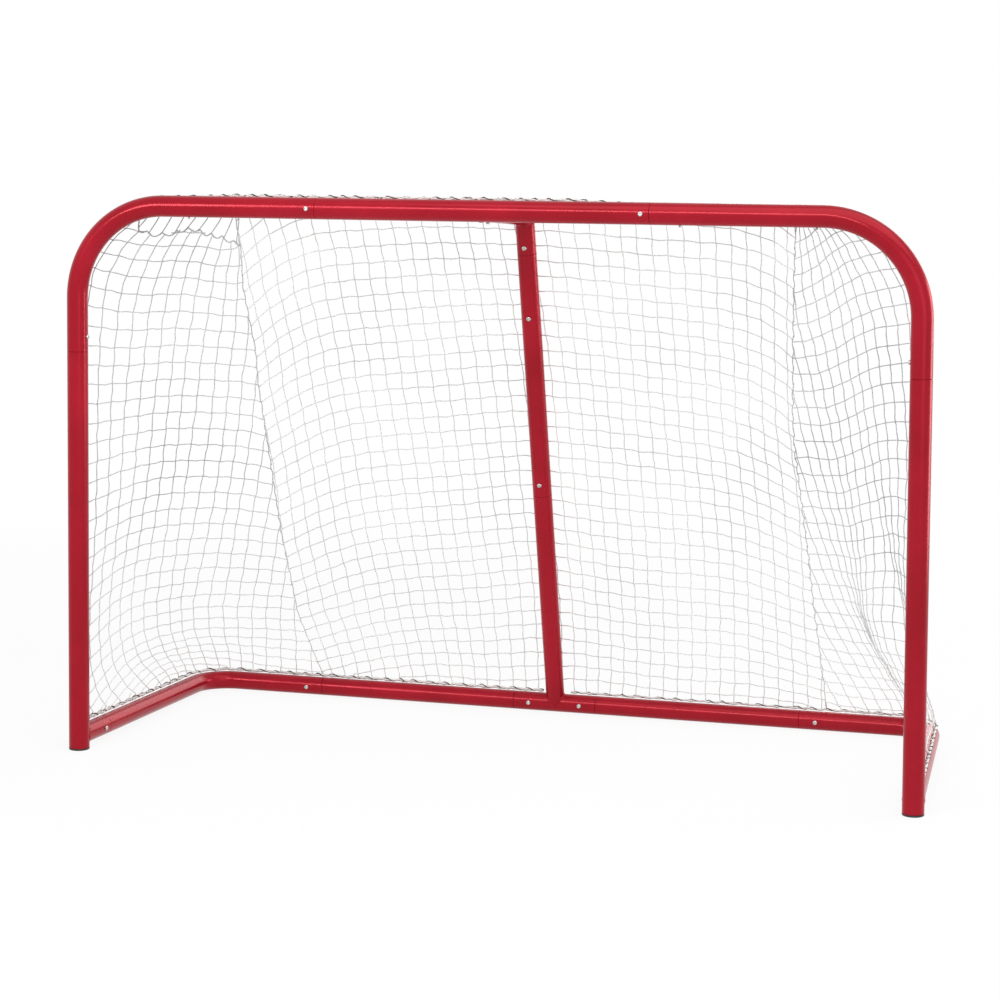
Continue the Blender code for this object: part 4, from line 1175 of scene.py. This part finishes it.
def addLacing(name, path, spoke, sizes, replaced):
    # hem rope along path + lift(x) z, with radius hem (1 + ragged waves of k), and the cord wound round it
    passed = lengthsOf(path)
    count = int(passed[-1] / lace["step"])
    shares = np.linspace(0, 1, count)
    centre = alongPath(path, shares)
    share = np.clip((centre[:, 2] - net["liftZ"]) / net["liftOver"], 0, 1)
    centre = centre + (np.interp(centre[:, 0], *net["topLift"]) * share)[:, None] * zAxis
    reference = unit(columnsAt(shares * passed[-1], passed, spoke))
    k = np.arange(count)
    rag = (0.0005 * np.sin(0.9 * k) + 0.0006 * np.sin(0.37 * k))[:, None] * reference
    size = sizes["hem"] * (1 + 0.10 * np.sin(1.7 * k) + 0.12 * np.sin(0.53 * k) + 0.06 * np.sin(2.9 * k))
    size[[0, -1]] *= 0.5
    addPiece("hem_" + name, cordPart(centre + rag, size, 9, reference), hemTwine, sharp=0)
    cord = cordPart(windCord(centre, reference, sizes), sizes["cord"] * (1 + 0.15 * np.sin(1.3 * k)), 7, reference)
    addPiece("lacing_" + name, cord, lacingCord, replaced, sharp=0)


for side, hand in hands:
    path, spoke = frontLacing(side, net["endX"], 40)
    addLacing(hand + "_front", path, spoke, lace["front"], [hand + "_front_lacing"])
    path, spoke = baseLacing(side, 24)
    addLacing(hand + "_base", path, spoke, lace[hand + "_base"], [hand + "_base_lacing"])

# the same lacing goes on over the brace's socket, between the ends of its two halves
path, spoke = frontLacing(1, net["endX"], 40)
path = np.linspace(path[-1] * (-1, 1, 1), path[-1], 9)
addLacing("middle_front", path, np.broadcast_to(spoke[-1], path.shape), lace["front"], [])

# ties: short dark cords from the crossbar's lacing, down the back of the tube to a knot under it, each an arc
# P(a) = (x + sway sin(2.5 a), reach cos a, topZ + reach sin a)
ties = {"x": (-0.775, -0.670, 0.429, 0.715), "radius": 0.0012, "knot": 0.0026, "gap": 0.0002, "sway": 0.004,
        "from": radians(50), "to": radians(-98)}
parts = []
a = np.linspace(ties["from"], ties["to"], 16)
reach = mouthRadius + ties["radius"] + ties["gap"]
for x in ties["x"]:
    points = np.stack([x + ties["sway"] * np.sin(2.5 * a), reach * np.cos(a), topZ + reach * np.sin(a)], axis=-1)
    parts += [cordPart(points, ties["radius"], 6, xAxis), knotCloud(points[-1:] - 0.001 * zAxis, ties["knot"])]
addPiece("lacing_ties", joined(parts), lacingCord, sharp=0)
print("lacing made")


# ---- camera, floor and light
view = {"azimuth": radians(15.57), "elevation": radians(8.20), "roll": radians(0.47), "place": (1.46, -5.068, 1.383),
        "lens": 88.70}


def addCamera():
    # ahead = (-sin az cos el, cos az cos el, -sin el); right = level cos roll + upward sin roll
    az, el, roll = view["azimuth"], view["elevation"], view["roll"]
    ahead = np.array((-sin(az) * cos(el), cos(az) * cos(el), -sin(el)))
    level = np.array((cos(az), sin(az), 0))
    upward = np.cross(level, ahead)
    right = level * cos(roll) + upward * sin(roll)
    above = upward * cos(roll) - level * sin(roll)
    camera = addObject("camera", bpy.data.cameras.new("camera"))
    matrix = np.eye(4)
    matrix[:3] = np.stack([right, above, -ahead, np.array(view["place"]) + goal["shift"]], axis=1)
    camera.matrix_world = Matrix(matrix.tolist())
    camera.data.sensor_width = 36
    camera.data.lens = view["lens"]
    camera.data.clip_end = 100
    bpy.context.scene.camera = camera


# a lamp is its place, its target, its size and its power
light = {"dome": 0.36, "floor": ((0.90, 0.90, 0.90), (0.93, 0.93, 0.93)), "glow": (0.90, 1.0, 1.6, 4.0),
         "lamps": {"overhead": ((1.2, -1.5, 3.9), (0, 0, 0.4), (5.0, 3.2), 80),
                   "strip": ((-0.70, -3.98, 2.54), (0, 0, 1.0), (3.1, 0.45), 54),
                   "side": ((4.1, 1.6, 1.0), (0, 0, 0.8), (1.8, 2.4), 72),
                   "spot": ((-2.8, -4.3, 2.3), (-0.6, 0.2, 0.1), (1.0, 0.8), 40),
                   "back": ((1.6, 4.4, 1.9), (0, 0, 0.6), (4.5, 2.6), 72),
                   "fill": ((3.4, -5.2, 1.7), (0, 0, 0.6), (3.0, 3.0), 26)}}
white = (1, 1, 1, 1)


def whiteToEye(tree):
    # max(camera, glossy, transmission): 1 for rays that the camera, a mirror or glass sends
    rays = tree.nodes.new("ShaderNodeLightPath").outputs
    seen = maths(tree, "MAXIMUM", rays["Is Camera Ray"], rays["Is Glossy Ray"])
    return maths(tree, "MAXIMUM", seen, rays["Is Transmission Ray"])


def addWorld():
    # dome (1 - eye) + white eye: the dome lights the goal, and the camera sees white
    world = bpy.data.worlds.new("studio")
    bpy.context.scene.world = world
    world.use_nodes = True
    tree = world.node_tree
    soft = tree.nodes["Background"]
    soft.inputs["Color"].default_value = white
    soft.inputs["Strength"].default_value = light["dome"]
    plain = addNode(tree, "ShaderNodeBackground", Color=white, Strength=1.0)
    mixedShader(tree, whiteToEye(tree), soft.outputs[0], plain.outputs[0], "World Output")


def addFloor():
    # paper (1 - share) + glow share, share = eye remap(distance): plain white away from the object
    material, tree, shader, where = startMaterial("paleFloor", 0.9, specular=0.1)
    cloud = useGroup(tree, mottle, where["Object"], 0.7, 60.0)
    stops = list(zip((0.0, 1.0), light["floor"]))
    link(tree, colourRamp(tree, cloud["Patch"], stops), shader.inputs["Base Color"])
    glow = addNode(tree, "ShaderNodeEmission", Color=white, Strength=1.0)
    away = addNode(tree, "ShaderNodeVectorMath", operation="LENGTH")
    link(tree, where["Object"], away.inputs[0])
    share = maths(tree, "MULTIPLY", whiteToEye(tree), remap(tree, away.outputs["Value"], *light["glow"]))
    mixedShader(tree, share, shader.outputs[0], glow.outputs[0], "Material Output")
    mesh = bpy.data.meshes.new("floor")
    far, low = 30, -0.0005
    mesh.from_pydata([(-far, -far, low), (far, -far, low), (far, far, low), (-far, far, low)], [], [(0, 1, 2, 3)])
    mesh.materials.append(material)
    addObject("floor", mesh)


def addLamp(name, place, target, size, power):
    # a rectangle of light at place, which faces along target - place
    data = bpy.data.lights.new(name, "AREA")
    data.shape = "RECTANGLE"
    data.size, data.size_y = size
    data.energy = power
    lamp = addObject(name, data)
    lamp.location = place
    lamp.rotation_euler = (Vector(target) - Vector(place)).to_track_quat("-Z", "Y").to_euler()
    lamp.visible_camera = False


addCamera()
addWorld()
addFloor()
for name, lamp in light["lamps"].items():
    addLamp(name, *lamp)
bpy.context.scene.view_settings.view_transform = "Standard"
print("camera and light made")

bpy.context.view_layer.update()
